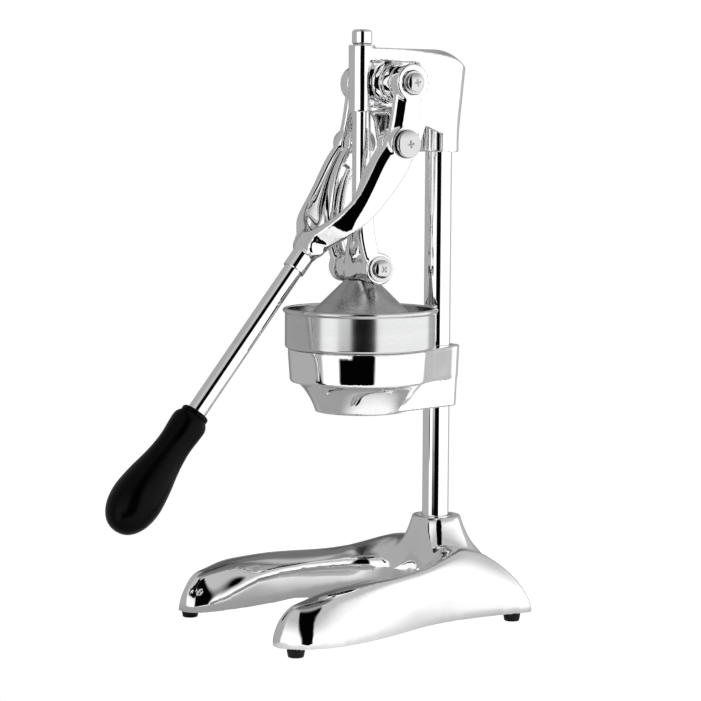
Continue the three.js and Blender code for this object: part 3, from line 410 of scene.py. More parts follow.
def base_body(x, y, z):
    x, y = np.broadcast_arrays(np.abs(x), y)
    row, out, width, before_toe = on_horseshoe(x, y)
    from_column = np.hypot(x, y - column_setback)
    flare = np.interp(from_column, *boss_slope.T)
    pitch = np.interp(from_column, boss_slope[:, 0], np.gradient(boss_slope[:, 1], boss_slope[:, 0]))
    boss = common((z - flare) / np.sqrt(1 + pitch ** 2), (z - boss_top, 1.6))
    boss = boss + np.maximum(from_column - boss_spread * boss_radius, 0)
    run = dish_run + dish_widening * np.minimum(x, dish_half) ** 2
    dish = z - row[..., 4] - (out + np.maximum(dish_front - y, 0) * dish_fall) / run
    skin = join(horseshoe(row, out, width, z), (boss, 9))
    skin = common(skin, (dish / np.sqrt(1 + 1 / run ** 2), 5), (-out, 3), (before_toe, 6))
    foot_x, foot_y = (np.where(y < 0, front, rear) for front, rear in zip(front_foot, rear_foot))
    pillars = np.minimum(np.hypot(x - foot_x, y - foot_y) - pillar_radius, from_column - boss_radius)
    hollow = cut(np.maximum(skin + base_wall, z - (crest_height - base_wall)), (pillars, 1))
    inward = np.clip(1 - out / width / lift_share, 0, 1)
    lift = np.interp(y, lift_places, lift_heights) * inward ** 2 * (3 - 2 * inward)
    washer_recess = np.maximum(from_column - washer_radius, z - washer_top)
    column_hole = np.maximum(from_column - column_radius - hole_gap, bolt_top - z)
    return cut(skin, (hollow, 1.5), ((z - underside - lift) * lift_slope, 1.6), (washer_recess, 0.5),
               (column_hole, 0.8))


base = poured("base_casting", "base", base_body, 1.7, casting_chrome, polish=5)
fitted(base, "frame", "polished_casting", "base")


# Feet. Four turned rubber plugs, pushed up into the base's pillars by a stem; they carry the press.
# Moulded in black rubber, with a narrow flat that meets the table and a dull, slightly dusty skin.
def eased(outline, closed):
    """An outline of radius, height and edge radius, with each edge rounded by a short arc."""
    steps, longest = 5, 0.49
    rounded = []
    count = len(outline)
    for i, (radius, height, ease) in enumerate(outline):
        if ease == 0 or (not closed and i in (0, count - 1)):
            rounded.append((radius, height))
            continue
        here = np.array([radius, height])
        before = np.array(outline[i - 1][:2]) - here
        after = np.array(outline[(i + 1) % count][:2]) - here
        shorter = min(np.linalg.norm(before), np.linalg.norm(after))
        before, after = unit(before), unit(after)
        half = math.acos(np.clip(before @ after, -1, 1)) / 2
        tangent = min(ease / math.tan(half), longest * shorter)
        middle = unit(before + after) * tangent / math.cos(half)
        start, end = before * tangent - middle, after * tangent - middle
        turn = math.atan2(start[0] * end[1] - start[1] * end[0], start @ end)
        for angle in np.linspace(0, turn, steps + 1):
            spin = np.array([[math.cos(angle), -math.sin(angle)], [math.sin(angle), math.cos(angle)]])
            rounded.append(tuple(here + middle + spin @ start))
    return rounded


def turned(outline, sides, closed=False):
    """The skin of a turned piece about local z. An open outline starts and ends on the axis."""
    angles = np.linspace(0, 2 * math.pi, sides, endpoint=False)
    round_axis = np.stack([np.cos(angles), np.sin(angles)], axis=1)
    rings = outline if closed else outline[1:-1]
    places = [np.column_stack([radius * round_axis, np.full(sides, height)]) for radius, height in rings]
    faces = []
    here = np.arange(sides)
    there = (here + 1) % sides
    for ring in range(len(rings) if closed else len(rings) - 1):
        low, high = ring * sides, (ring + 1) % len(rings) * sides
        faces += np.stack([low + here, low + there, high + there, high + here], axis=1).tolist()
    if not closed:
        ends = len(rings) * sides
        last = ends - sides
        places.append(np.array([[0, 0, outline[0][1]], [0, 0, outline[-1][1]]]))
        faces += np.stack([np.full(sides, ends), there, here], axis=1).tolist()
        faces += np.stack([np.full(sides, ends + 1), last + here, last + there], axis=1).tolist()
    return np.concatenate(places), faces


def upright(x, y):
    return np.eye(3), np.array([x, y, 0])


def sideways(side, pivot):
    """Local z points out to one side: 1 is the right and -1 the left."""
    return np.array([[0, side, 0], [0, 0, 1], [side, 0, 0]], float), np.array([0, *pivot[1:]])


def even_shading(piece):
    """Normals weighted by the faces' areas, so that flats stay flat beside their rounded edges."""
    mesh = piece.data
    total = np.zeros((len(mesh.vertices), 3))
    for face in mesh.polygons:
        total[list(face.vertices)] += np.array(face.normal) * face.area
    mesh.normals_split_custom_set_from_vertices(unit(total).tolist())


def spun(name, outline, sides, place, finish, closed=False):
    """A turned piece in place, its edges eased, its faces pointing out."""
    places, faces = turned(eased(outline, closed), sides, closed)
    basis, origin = place
    piece = shaped(name, places @ basis + origin, faces, None, finish)
    volume = sum(face.center.dot(face.normal) * face.area for face in piece.data.polygons)
    if volume < 0:
        piece.data.flip_normals()
    even_shading(piece)
    return piece


def moulded_rubber():
    finish = Finish("moulded_rubber")
    clean, dusty = (0.003, 0.003, 0.003), (0.008, 0.008, 0.008)
    dust = finish.ramp(finish.noise(scale=160, detail=4, roughness=0.6), start=0.45, end=0.75)
    return finish.surface({
        "Base Color": finish.tint(dust, clean, dusty),
        "Specular IOR Level": 0.25,
        "Roughness": dust * 0.2 + 0.5,
        "Normal": finish.relief(finish.noise(scale=1400, detail=3), 0.03 * mm),
    })


rubber = moulded_rubber()
foot_flat, foot_swell, foot_waist, foot_stem = 5.6, 4.3, 6.2, 3
for corner in ("front_left", "front_right", "rear_left", "rear_right"):
    foot_reach, _, foot_top = upright_of("foot_" + corner)
    x, y = middle_of("foot_" + corner)[:2]
    foot_radius = foot_reach - x
    foot = spun("foot_plug_" + corner, [
        (0, 0, 0), (foot_flat, 0, 0.7), (foot_radius, foot_swell, 1.5), (foot_radius, foot_waist, 0.3),
        (foot_stem, foot_waist, 0.3), (foot_stem, foot_top, 0.4), (0, foot_top, 0)],
        40, upright(x, y), rubber)
    fitted(foot, "frame", "black_rubber", "foot_" + corner)


# Column. A ground steel bar, hard chromed, pulled down into the boss by a bolt and washer from below.
# The bolt and the washer are bought parts in bright zinc, so the solids stay and only get their finish.
def zinc_plate():
    finish = Finish("zinc_plate")
    blue, yellow = (0.5, 0.52, 0.55), (0.72, 0.72, 0.7)
    spangle = finish.noise(scale=420, detail=4, roughness=0.65)
    return finish.surface({
        "Base Color": finish.tint(spangle, blue, yellow),
        "Metallic": 1.0,
        "Roughness": spangle * 0.25 + 0.18,
        "Normal": finish.relief(spangle, 0.02 * mm),
    })


def ground_chrome():
    finish = Finish("ground_chrome")
    clean, wiped = (0.9, 0.903, 0.91), (0.84, 0.845, 0.86)
    marks = finish.noise(scale=1500, roughness=0.6)
    patches = finish.ramp(finish.noise(scale=60), start=0.45, end=0.75)
    return finish.surface({
        "Base Color": finish.tint(patches, clean, wiped),
        "Metallic": 1.0,
        "Roughness": marks * patches * 0.06 + 0.02,
        "Normal": finish.relief(finish.noise(scale=70, detail=1), 0.05 * mm),
    })


zinc = zinc_plate()
bar_chrome = ground_chrome()
column = spun("column_bar", [
    (0, column_bottom, 0), (column_radius, column_bottom, 0.8), (column_radius, column_top, 0.8),
    (0, column_top, 0)], 96, upright(0, column_setback), bar_chrome)
fitted(column, "frame", "chrome_steel", "column")
for node in ("column_bolt", "column_washer", "head_set_screw", "holder_set_screw", "cone_nut"):
    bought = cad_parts[node].data
    bought.materials.clear()
    bought.materials.append(zinc.owner)


# Head casting. It clamps on the column's top, guides the rod in front and carries the lever's top pivots.
# Die-cast, polished and chromed, with open pockets beside the guide and a hollow skirt behind them.
pivot_boss_end, head_bottom, guide_top = upright_of("head")
rod_radius, rod_bottom, rod_top = upright_of("press_rod")
head_top, head_rear, head_half = 427, 90.2, 17.5
rear_lean, rear_round = 8.7, 24.2
front_taper, taper_reach, taper_bend = 8.1, 40, 1.5
crown_fall, fall_start, fall_bend = 15, 0.68, 2.4
front_drop, rear_drop, drop_bend, side_bend, drop_limit, crown_slope = 0.4, 11.5, 2.6, 1.7, 1.2, 0.85
front_edge, head_wall = 380, 3.5
clamp_radius, clamp_rise = 14.75, 3
pocket_middle, pocket_half, pocket_corner, pocket_floor = (16, 400.5), (24, 16.5), 4.5, 9
guide_radius, rod_gap = 9.7, 0.25
pivot_boss_start, pivot_boss_radius, pivot_root_radius, pivot_root_end = 5, 13.5, 15.2, 18.4
pivot_bore, pivot_hole_floor = 4.3, 13
grub_radius, head_grub_height = 3.3, 391
top_pivot = middle_of("top_pivot_bush_right")
mid_pivot = middle_of("mid_pivot_washer_right")
low_pivot = middle_of("lower_pivot_washer_right")
# The casting in side view: y and z, round from the top of its front.
head_outline = [[-6, 440], [-6, 380], [15, 380], [19, 374], [24, 351], [39, 351], [45.3, 370], [59.3, 364.4],
                [59.3, 351], [100, 351], [100, 440]]


def inside_outline(outline, across, up):
    """Signed distance to a closed outline: below zero inside it."""
    nearest = np.inf
    within = False
    for (x0, y0), (x1, y1) in zip(outline, outline[1:] + outline[:1]):
        run, climb = x1 - x0, y1 - y0
        share = np.clip(((across - x0) * run + (up - y0) * climb) / (run * run + climb * climb), 0, 1)
        nearest = np.minimum(nearest, np.hypot(across - x0 - share * run, up - y0 - share * climb))
        if climb != 0:
            beyond = across < x0 + (up - y0) * run / climb
            within = within ^ (((y0 > up) != (y1 > up)) & beyond)
    return np.where(within, -nearest, nearest)


def rounded_box(across, up, half, corner):
    """Signed distance to a rectangle about the middle, with round corners."""
    x, y = np.abs(across) - half[0] + corner, np.abs(up) - half[1] + corner
    return np.hypot(np.maximum(x, 0), np.maximum(y, 0)) + np.minimum(np.maximum(x, y), 0) - corner


def from_pivot(pivot, y, z):
    """Distance from a pivot's axis, which runs across the press."""
    return np.hypot(y - pivot[1], z - pivot[2])


def eye_at(pivot, x, y, z, radius, start, end, edge):
    """A round eye about a pivot, from one distance out to another on each side."""
    out = np.abs(x)
    return common(from_pivot(pivot, y, z) - radius, (out - end, edge), (start - out, edge))


def grub_hole(x, y, z, height):
    """The hole for a set screw, from the rear in to the column."""
    return np.maximum(np.hypot(x, z - height) - grub_radius, column_setback - y)


def head_body(x, y, z):
    lean = rear_lean * np.clip((head_top - z) / (head_top - head_bottom), 0, 1)
    back = np.maximum(y + lean - head_rear + rear_round, 0) / rear_round
    half = head_half - front_taper * np.clip(1 - y / taper_reach, 0, 1) ** taper_bend
    plan = (np.sqrt(back ** 2 + (x / half) ** 2) - 1) * half
    behind = np.clip(y / head_rear, 0, 1)
    crown = head_top - crown_fall * np.clip((behind - fall_start) / (1 - fall_start), 0, 1) ** fall_bend
    side_drop = front_drop + rear_drop * behind ** drop_bend
    crowned = side_drop * np.minimum(np.abs(x) / head_half, drop_limit) ** side_bend
    side_view = inside_outline(head_outline, y, z)
    body = common(plan, ((z - crown + crowned) * crown_slope, 1.1), (side_view, 1.2), (-y, 1.4))
    hollow = common(plan + head_wall, (z - front_edge, 2))
    from_column = np.hypot(x, y - column_setback)
    clamp = np.maximum(from_column - clamp_radius, z - front_edge - clamp_rise)
    clamp = common(clamp, (head_bottom - z, 0.8))
    pocket = rounded_box(y - pocket_middle[0], z - pocket_middle[1], pocket_half, pocket_corner)
    pocket = common(pocket, (pocket_floor - np.abs(x), 1.6))
    body = cut(join(cut(body, (hollow, 1.2)), (clamp, 1.2)), (pocket, 1.1))
    from_rod = np.hypot(x, y)
    guide = common(from_rod - guide_radius, (z - guide_top, 0.9), (front_edge - z, 0.9))
    root = eye_at(top_pivot, x, y, z, pivot_root_radius, pivot_boss_start, pivot_root_end, 0.7)
    boss = eye_at(top_pivot, x, y, z, pivot_boss_radius, pivot_boss_start, pivot_boss_end, 0.8)
    body = join(body, (guide, 1.4), (join(root, (boss, 0.8)), 1))
    pivot_hole = np.maximum(from_pivot(top_pivot, y, z) - pivot_bore, pivot_hole_floor - np.abs(x))
    column_hole = np.maximum(from_column - column_radius, z - column_top) - hole_gap
    return cut(body, (from_rod - rod_radius - rod_gap, 0.5), (pivot_hole, 0.4), (column_hole, 0.5),
               (grub_hole(x, y, z, head_grub_height), 0.5))


head = poured("head_casting", "head", head_body, 1.05, casting_chrome)
fitted(head, "frame", "polished_casting", "head")


# Cup holder. A ring with a funnel-shaped bowl under it, and an arm back to a sleeve on the column.
# One casting, polished and chromed like the base; the bowl is open below for the juice.
ring_radius, holder_bottom, holder_top = upright_of("holder")
mouth_radius, holder_wall = 32.3, 4
band_bottom, ring_draft = 181.7, 0.06
sleeve_top_radius, sleeve_bottom_radius = 16.6, 14.5
seat_radius, seat_ledge = 49, 190
holder_grub_height = 193.5
clearance = 20
funnel_curve = curve_through([
    [mouth_radius, holder_bottom], [34.1, 163.2], [36.9, 168.6], [40.8, 174.8], [45, 179.4], [48.6, 181],
    [50.3, 181.7]], steps=4)
holder_outline = [[0, holder_top], [0, holder_bottom], *funnel_curve.tolist(),
                  [51.6, 183.6], [ring_radius, 201.4], [ring_radius, holder_top]]
throat = mouth_radius - holder_wall
above, below = holder_top + clearance, holder_bottom - clearance
bowl_outline = [[0, above], [0, below], [throat, below], [throat, holder_bottom + holder_wall], [37, 176.5],
                [44.5, 183.4], [seat_radius, seat_ledge], [seat_radius, above]]


def tapered_plan(x, y, wide, narrow):
    """Signed distance in plan to a round end on the rod's axis, drawn out to a narrower one behind."""
    lean = (wide - narrow) / column_setback
    straight = np.sqrt(1 - lean ** 2)
    along = -lean * np.abs(x) + straight * y
    side = straight * np.abs(x) + lean * y - wide
    far = np.hypot(x, y - column_setback) - narrow
    flank = np.where(along > straight * column_setback, far, side)
    return np.where(along < 0, np.hypot(x, y) - wide, flank)


def holder_body(x, y, z):
    from_rod = np.hypot(x, y)
    height = np.clip((z - holder_bottom) / (holder_top - holder_bottom), 0, 1)
    sleeve_radius = sleeve_bottom_radius + (sleeve_top_radius - sleeve_bottom_radius) * height
    top = z - holder_top
    band = common(tapered_plan(x, y, ring_radius + top * ring_draft, sleeve_radius), (band_bottom - z, 2))
    web = common(tapered_plan(x, y, mouth_radius, sleeve_radius), (holder_bottom - z, 1.5), (top, 1))
    body = join(inside_outline(holder_outline, from_rod, z), (web, 5), (np.maximum(band, top), 2.5))
    column_hole = np.hypot(x, y - column_setback) - column_radius - hole_gap
    return cut(body, (-top, 1.6), (inside_outline(bowl_outline, from_rod, z), 1), (column_hole, 0.8),
               (grub_hole(x, y, z, holder_grub_height), 0.5))


holder = poured("holder_casting", "holder", holder_body, 1.3, casting_chrome, polish=2)
fitted(holder, "frame", "polished_casting", "holder")


# Cup. Spun from stainless sheet, with a rolled rim, a shoulder on the holder's ring and a spout below.
# The lathe leaves a fine circular brushing all round it, and bands of light along it are painted into its
# colour as sheen.
def brushed_round(name, dark, bright, lines, dullness):
    """Stainless steel brushed in circles about the rod's axis. Its colour swings from dark to bright along the
    brushing: the real grain, and painted sheen streaks that stand in for the light it catches.
    """
    finish = Finish(name)
    round_stretch, broad_lines, broad_share, streaks = 0.004, lines / 14, 0.3, 0.14
    centred = finish.node("ShaderNodeVectorMath", {"operation": "SUBTRACT"},
                          {0: finish.place(), 1: (0, rod_axis[1] * mm, 0)})
    x = finish.node("ShaderNodeSeparateXYZ", {}, {"Vector": centred}, "X")
    y, z = x.beside("Y"), x.beside("Z")
    radius = (x * x + y * y) ** 0.5
    turn = y.math("ARCTAN2", x)
    rubbed = finish.node("ShaderNodeCombineXYZ", {}, {"X": turn * round_stretch, "Y": radius, "Z": z})
    fine = finish.noise(lines, detail=3, roughness=0.7, place=rubbed)
    grain = fine * (1 - broad_share) + finish.noise(broad_lines, place=rubbed) * broad_share
    return finish.surface({
        # Painted sheen: the grain draws the colour from dark to bright, laying streaks of light and shade along
        # the brushing.
        "Base Color": finish.tint(grain, dark, bright),
        "Metallic": 1.0,
        "Roughness": grain * streaks + dullness,
        "Normal": finish.relief(fine, 0.012 * mm, strength=0.6),
    })


spun_steel = brushed_round("spun_steel", dark=(0.5, 0.505, 0.51), bright=(0.82, 0.82, 0.825), lines=2600,
                           dullness=0.1)
rim_radius, spout_bottom, rim_top = upright_of("cup")
cup_radius, cup_seat, cup_sheet = 55.8, 48.7, 1.3
shoulder = holder_top + hole_gap
spout_inner, spout_outer = 12.7, 14
bead = 1.75
bead_turns = np.linspace(-0.42 * math.pi, 0.86 * math.pi, 15)
bead_arc = [(rim_radius - bead + bead * math.cos(turn), rim_top - bead + bead * math.sin(turn), 0)
            for turn in bead_turns]
cup = spun("cup_bowl", [
    (cup_radius, shoulder, 2.2), (cup_radius, rim_top - 2 * bead - 0.6, 0.5), *bead_arc,
    (cup_radius - cup_sheet, rim_top - 2 * bead, 0.5), (cup_radius - cup_sheet, shoulder + cup_sheet, 1.2),
    (cup_seat - cup_sheet, shoulder + cup_sheet, 1.6), (cup_seat - cup_sheet, 194, 5), (31.4, 185, 12),
    (spout_inner, 171, 5), (spout_inner, spout_bottom, 0.5), (spout_outer, spout_bottom, 0.5),
    (spout_outer, 169.7, 4), (31.4, 182.4, 12), (cup_seat, 192.7, 4), (cup_seat, shoulder, 1)],
    128, upright(0, 0), spun_steel, closed=True)
fitted(cup, "cup", "stainless_steel", "cup")


# Strainer. Pressed from thin stainless sheet: a fluted dome with drain slots, its rim resting in the cup.
# It only shows once the lever lifts the cone, so its flutes and slots are real ones.
strainer_rim, strainer_seat, strainer_top = upright_of("strainer")
strainer_skirt, strainer_flat, strainer_sheet = 41, 42.6, 1.2
flutes, flute_steps, flute_depth = 10, 32, 1.5
flute_start, flute_end, nose_fade, skirt_fade = 4, strainer_skirt - 0.5, 6, 3
slot_start, slot_end, slot_steps, slot_turn = 27.5, 38.6, 3, 1.5
dome_shares = [[1, 0.01], [0.94, 0.07], [0.78, 0.3], [0.55, 0.6], [0.33, 0.87], [0.18, 0.965], [0.05, 0.998]]


def fluted_dome():
    """Quads of the dome with its slots left open, as a skin that is thickened afterwards."""
    rim_height = strainer_seat + strainer_sheet
    dome = curve_through(dome_shares, steps=6) * [strainer_skirt, strainer_top - rim_height]
    dome += [0, rim_height]
    flat = [[radius, rim_height] for radius in np.linspace(strainer_rim, strainer_flat, 4)]
    rings = np.vstack([flat, dome])
    sides = flute_steps * flutes
    angles = np.arange(sides) * 2 * math.pi / sides
    places = []
    for radius, height in rings:
        fade = np.clip((radius - flute_start) / nose_fade, 0, 1)
        fade *= np.clip((flute_end - radius) / skirt_fade, 0, 1)
        out = radius - fade * flute_depth * (1 - np.cos(flutes * angles)) / 2
        places.append(np.column_stack([out * np.cos(angles), out * np.sin(angles), np.full(sides, height)]))
    faces = []
    for ring in range(len(rings) - 1):
        slotted = slot_start < rings[ring + 1][0] and rings[ring][0] < slot_end
        low, high = ring * sides, (ring + 1) * sides
        for side in range(sides):
            if not slotted or (side + slot_turn) % flute_steps >= slot_steps:
                after = (side + 1) % sides
                faces.append([low + side, low + after, high + after, high + side])
    nose = (len(rings) - 1) * sides
    faces.append(list(range(nose, nose + sides)))
    return np.vstack(places), faces


strainer = shaped("strainer_dome", *fluted_dome(), None, spun_steel)
thick = strainer.modifiers.new("sheet", "SOLIDIFY")
thick.thickness = strainer_sheet * mm
thick.offset = -1
thickened = strainer.evaluated_get(bpy.context.evaluated_depsgraph_get())
strainer.data = bpy.data.meshes.new_from_object(thickened)
strainer.modifiers.clear()
even_shading(strainer)
fitted(strainer, "cup", "stainless_steel", "strainer")


# Press cone. A bell spun from stainless sheet, clamped under the crosshead by a nut on the rod's tail.
# Brushed in circles, so light lies on it in soft rays from collar to skirt; painted sheen streaks in its colour
# along the brushing add to them.
cone_radius, cone_bottom, cone_top = upright_of("press_cone")
collar_radius, cone_bore, cone_sheet = 11.7, 5.3, 1.4
skirt_top = cone_bottom + 6
cone_waist = (collar_radius + cone_radius) / 2
waist_height = cone_top - (cone_radius - collar_radius) * 0.49
inner_drop = 0.6
cone_steel = brushed_round("cone_steel", dark=(0.3, 0.302, 0.306), bright=(0.68, 0.68, 0.685), lines=1700,
                           dullness=0.2)
cone = spun("cone_bell", [
    (cone_bore, cone_top, 0.3), (collar_radius, cone_top, 1.2), (cone_waist, waist_height, 20),
    (cone_radius, skirt_top, 2.4), (cone_radius, cone_bottom, 0.5),
    (cone_radius - cone_sheet, cone_bottom, 0.5), (cone_radius - cone_sheet, skirt_top - inner_drop, 1.2),
    (cone_waist - cone_sheet, waist_height - inner_drop, 20),
    (collar_radius - inner_drop, cone_top - cone_sheet, 1), (cone_bore, cone_top - cone_sheet, 0.3)],
    128, upright(0, 0), cone_steel, closed=True)
fitted(cone, "ram", "stainless_steel", "press_cone")


# Press rod and cap. Ground and chromed bar that slides in the head's guide, with a turned cap screwed on it.
# The cap's top edge is a generous radius, and a thin groove parts it from the rod.
tail_radius, rod_shoulder, stud_radius, stud_bottom = 5, 270, 4, 428.7
rod = spun("press_rod_bar", [
    (0, rod_bottom, 0), (tail_radius, rod_bottom, 0.5), (tail_radius, rod_shoulder, 0.2),
    (rod_radius, rod_shoulder, 0.4), (rod_radius, stud_bottom, 0.4), (stud_radius, stud_bottom, 0.2),
    (stud_radius, rod_top, 0.3), (0, rod_top, 0)], 96, upright(0, 0), bar_chrome)
fitted(rod, "ram", "chrome_steel", "press_rod")
cap_radius, cap_bottom, cap_top = upright_of("rod_cap")
cap_bore, cap_depth, cap_lip, cap_bevel = stud_radius + hole_gap, 7, 1.2, 1.4
cap = spun("rod_cap_turned", [
    (0, cap_bottom + cap_depth, 0), (cap_bore, cap_bottom + cap_depth, 0.2), (cap_bore, cap_bottom, 0.2),
    (cap_radius - cap_lip, cap_bottom, 0.3), (cap_radius, cap_bottom + cap_bevel, 0.9),
    (cap_radius, cap_top, 2.6), (0, cap_top, 0)], 96, upright(0, 0), bar_chrome)
fitted(cap, "ram", "chrome_steel", "rod_cap")


# Crosshead. A small casting on the rod's tail, drilled across for both lower pivot screws.
# Polished and chromed; its round neck swells into the eye that the links hang on.
crosshead_half, crosshead_bottom, crosshead_top = upright_of("crosshead")
crosshead_eye, crosshead_hole_floor = 10.6, 8
neck_outline = [[0, crosshead_top], [0, crosshead_bottom], [8.6, crosshead_bottom], [11.4, 258.6], [12, 261],
                [12, 275], [11.2, 280], [10, 285.5], [9.6, crosshead_top]]


def crosshead_body(x, y, z):
    from_rod = np.hypot(x, y)
    neck = common(inside_outline(neck_outline, from_rod, z), (z - crosshead_top, 1))
    eye = common(from_pivot(low_pivot, y, z) - crosshead_eye, (np.abs(x) - crosshead_half, 0.8))
    body = common(join(neck, (eye, 3)), (crosshead_bottom - z, 0.6))
    rod_hole = np.maximum(from_rod - rod_radius, rod_shoulder - z) - hole_gap
    rod_hole = np.minimum(from_rod - tail_radius - hole_gap, rod_hole)
    screw_hole = np.maximum(from_pivot(low_pivot, y, z) - pivot_bore, crosshead_hole_floor - np.abs(x))
    return cut(body, (rod_hole, 0.4), (screw_hole, 0.4))


crosshead = poured("crosshead_casting", "crosshead", crosshead_body, 0.85, casting_chrome)
fitted(crosshead, "ram", "polished_casting", "crosshead")


# Links. Two bowed castings between the mid and lower pivots; a long pocket lightens their inner faces.
# They were barrel polished before chroming, which leaves the ribs soft and rolling.
fine_chrome = mirror_chrome("fine_casting_chrome", roll=0.16, roll_size=17, haze=0.05)
link_inner, link_outer, link_eye, link_width = 19, 27, 11.6, 6.2
link_bow, bow_fullness, link_waist, waist_bend, waist_swell = 16.5, 0.7, 12, 5, 0.06
rail_squareness, rail_depth = 3.6, 5
trough_floor, trough_width, trough_half = 22, 3.4, 0.3
link_pivots = mid_pivot, low_pivot
link_line = mid_pivot[1:] - low_pivot[1:]
link_span = np.linalg.norm(link_line)
link_line /= link_span
link_ahead = np.array([-link_line[1], link_line[0]])
link_shares = np.linspace(0, 1, 121)
link_bows = np.sin(link_shares * math.pi) ** bow_fullness
link_points = low_pivot[1:] + np.outer(link_shares * link_span, link_line)
link_points += np.outer(link_bows * link_bow, link_ahead)


def nearest_on(line, y, z):
    """Distance in side view to a line of points, and the place on it, counted in points."""
    y, z = np.broadcast_arrays(y, z)
    flat = np.stack([y.ravel(), z.ravel()], axis=1)
    start, step = line[:-1], line[1:] - line[:-1]
    reach, place = np.empty((2, len(flat)))
    block = 4000
    for first in range(0, len(flat), block):
        away = flat[first:first + block, None] - start
        share = np.clip((away * step).sum(-1) / (step ** 2).sum(-1), 0, 1)
        distance = np.linalg.norm(away - share[..., None] * step, axis=-1)
        nearest = distance.argmin(axis=1)
        rows = np.arange(len(nearest))
        reach[first:first + block] = distance[rows, nearest]
        place[first:first + block] = nearest + share[rows, nearest]
    return reach.reshape(y.shape), place.reshape(y.shape)


def along_line(place, column):
    """A number that changes along a line of points, at places counted in points."""
    return np.interp(place, np.arange(len(column)), column)


def squared_bar(across, reach, squareness, depth):
    """A bar whose section is a rounded rectangle, from shares of its half thickness and half width."""
    round_section = np.abs(across) ** squareness + reach ** squareness + tiny
    return (round_section ** (1 / squareness) - 1) * depth


def link_body(x, y, z):
    reach, place = nearest_on(link_points, y, z)
    bow = along_line(place, link_bows)
    thick = link_outer - link_inner + (link_waist - link_outer + link_inner) * bow ** waist_bend
    across = (x - link_outer + thick / 2) / (thick / 2)
    rail = squared_bar(across, reach / link_width / (1 + waist_swell * bow), rail_squareness, rail_depth)
    from_ends = (np.abs(along_line(place, link_shares) - 0.5) - trough_half) * link_span
    trough = common(reach - trough_width, (from_ends, 3), (x - trough_floor, 1.6))
    mid_end, low_end = (
        eye_at(pivot, x, y, z, link_eye, link_inner, link_outer, 0.9) for pivot in link_pivots)
    holes = [(from_pivot(pivot, y, z) - pivot_bore, 0.4) for pivot in link_pivots]
    return cut(join(cut(rail, (trough, 1.1)), (join(mid_end, (low_end, 1)), 1.6)), *holes)


link_low, link_high = measured("link_right")
skin, faces, normals = cast(link_body, link_low - 2, link_high + 2, 0.8)
flip = np.array([-1, 1, 1])
right_link = shaped("link_casting_right", skin, faces, normals, fine_chrome)
left_link = shaped("link_casting_left", skin * flip, faces[:, ::-1], normals * flip, fine_chrome)
fitted(right_link, "link_right", "chrome_steel", "link_right")
fitted(left_link, "link_left", "chrome_steel", "link_left")


# Forked lever. Two flat arms hang from the top pivots, carry the links at the mid pivots and close on a
# socket. One casting, polished and chromed, with a broad bevel along the front of each arm's outer face.
arm_inner, arm_outer = 29.5, upright_of("fork")[0]
arm_middle, arm_half = (arm_inner + arm_outer) / 2, (arm_outer - arm_inner) / 2
top_eye, mid_eye = 13.5, 12
lever_slope = math.radians(51.45)
fork_length, bar_offset = 96.4, 2.2
socket_radius, socket_length, stub_radius, stub_length = 8.4, 19, 8.3, 4.8
bar_radius = 7
crotch_blend, arm_squareness, arm_depth = 2.5, 4.6, 5.5
bevel_turn, bevel_depth, bevel_ease, bevel_fade = math.radians(36), 3.8, 0.4, 10
bush_bore, bush_floor, top_hole_floor, mid_hole_floor = 8.8, 34.5, 25, 29.75
down_bar = np.array([-math.cos(lever_slope), -math.sin(lever_slope)])
fork_normal = np.array([-down_bar[1], down_bar[0]])
socket_top = mid_pivot[1:] + fork_length * down_bar + bar_offset * fork_normal
upper_arm_shares = [
    # along from the top to the mid pivot, half width
    [-0.02, 0.8], [0.3, 0.77], [0.62, 0.79], [0.88, 0.88]]
lower_arm_shares = [
    # along the fork, x share of the arm's middle, half width, half thickness, offset behind the pivot
    [0.08, 1, 1.02, 1, 0.1], [0.2, 1, 1.07, 1, 0.2], [0.33, 1, 1, 0.99, 0.27],
    [0.46, 0.995, 0.88, 0.96, 0.33], [0.57, 0.97, 0.8, 0.94, 0.34], [0.67, 0.89, 0.75, 0.95, 0.29],
    [0.76, 0.74, 0.72, 1, 0.23], [0.84, 0.5, 0.7, 1.08, 0.19], [0.91, 0.28, 0.69, 1.17, 0.18],
    [0.97, 0.13, 0.68, 1.25, 0.18]]


def arm_path():
    """Rows down an arm: y, z, x of its middle, half width and half thickness."""
    rows = []
    for share, width in upper_arm_shares:
        y, z = top_pivot[1:] + (mid_pivot - top_pivot)[1:] * share
        rows.append([y, z, arm_middle, top_eye * width, arm_half])
    for along, out, width, thick, shift in lower_arm_shares:
        y, z = mid_pivot[1:] + along * fork_length * down_bar + shift * mid_eye * fork_normal
        rows.append([y, z, arm_middle * out, mid_eye * width, arm_half * thick])
    return curve_through(rows, steps=12)


arm_rows = arm_path()
arm_line = arm_rows[:, :2]
arm_heading = -unit(np.gradient(arm_line, axis=0))
arm_length = np.concatenate([[0], np.cumsum(np.linalg.norm(np.diff(arm_line, axis=0), axis=1))])
arm_lean = np.gradient(arm_rows[:, 2], arm_length)


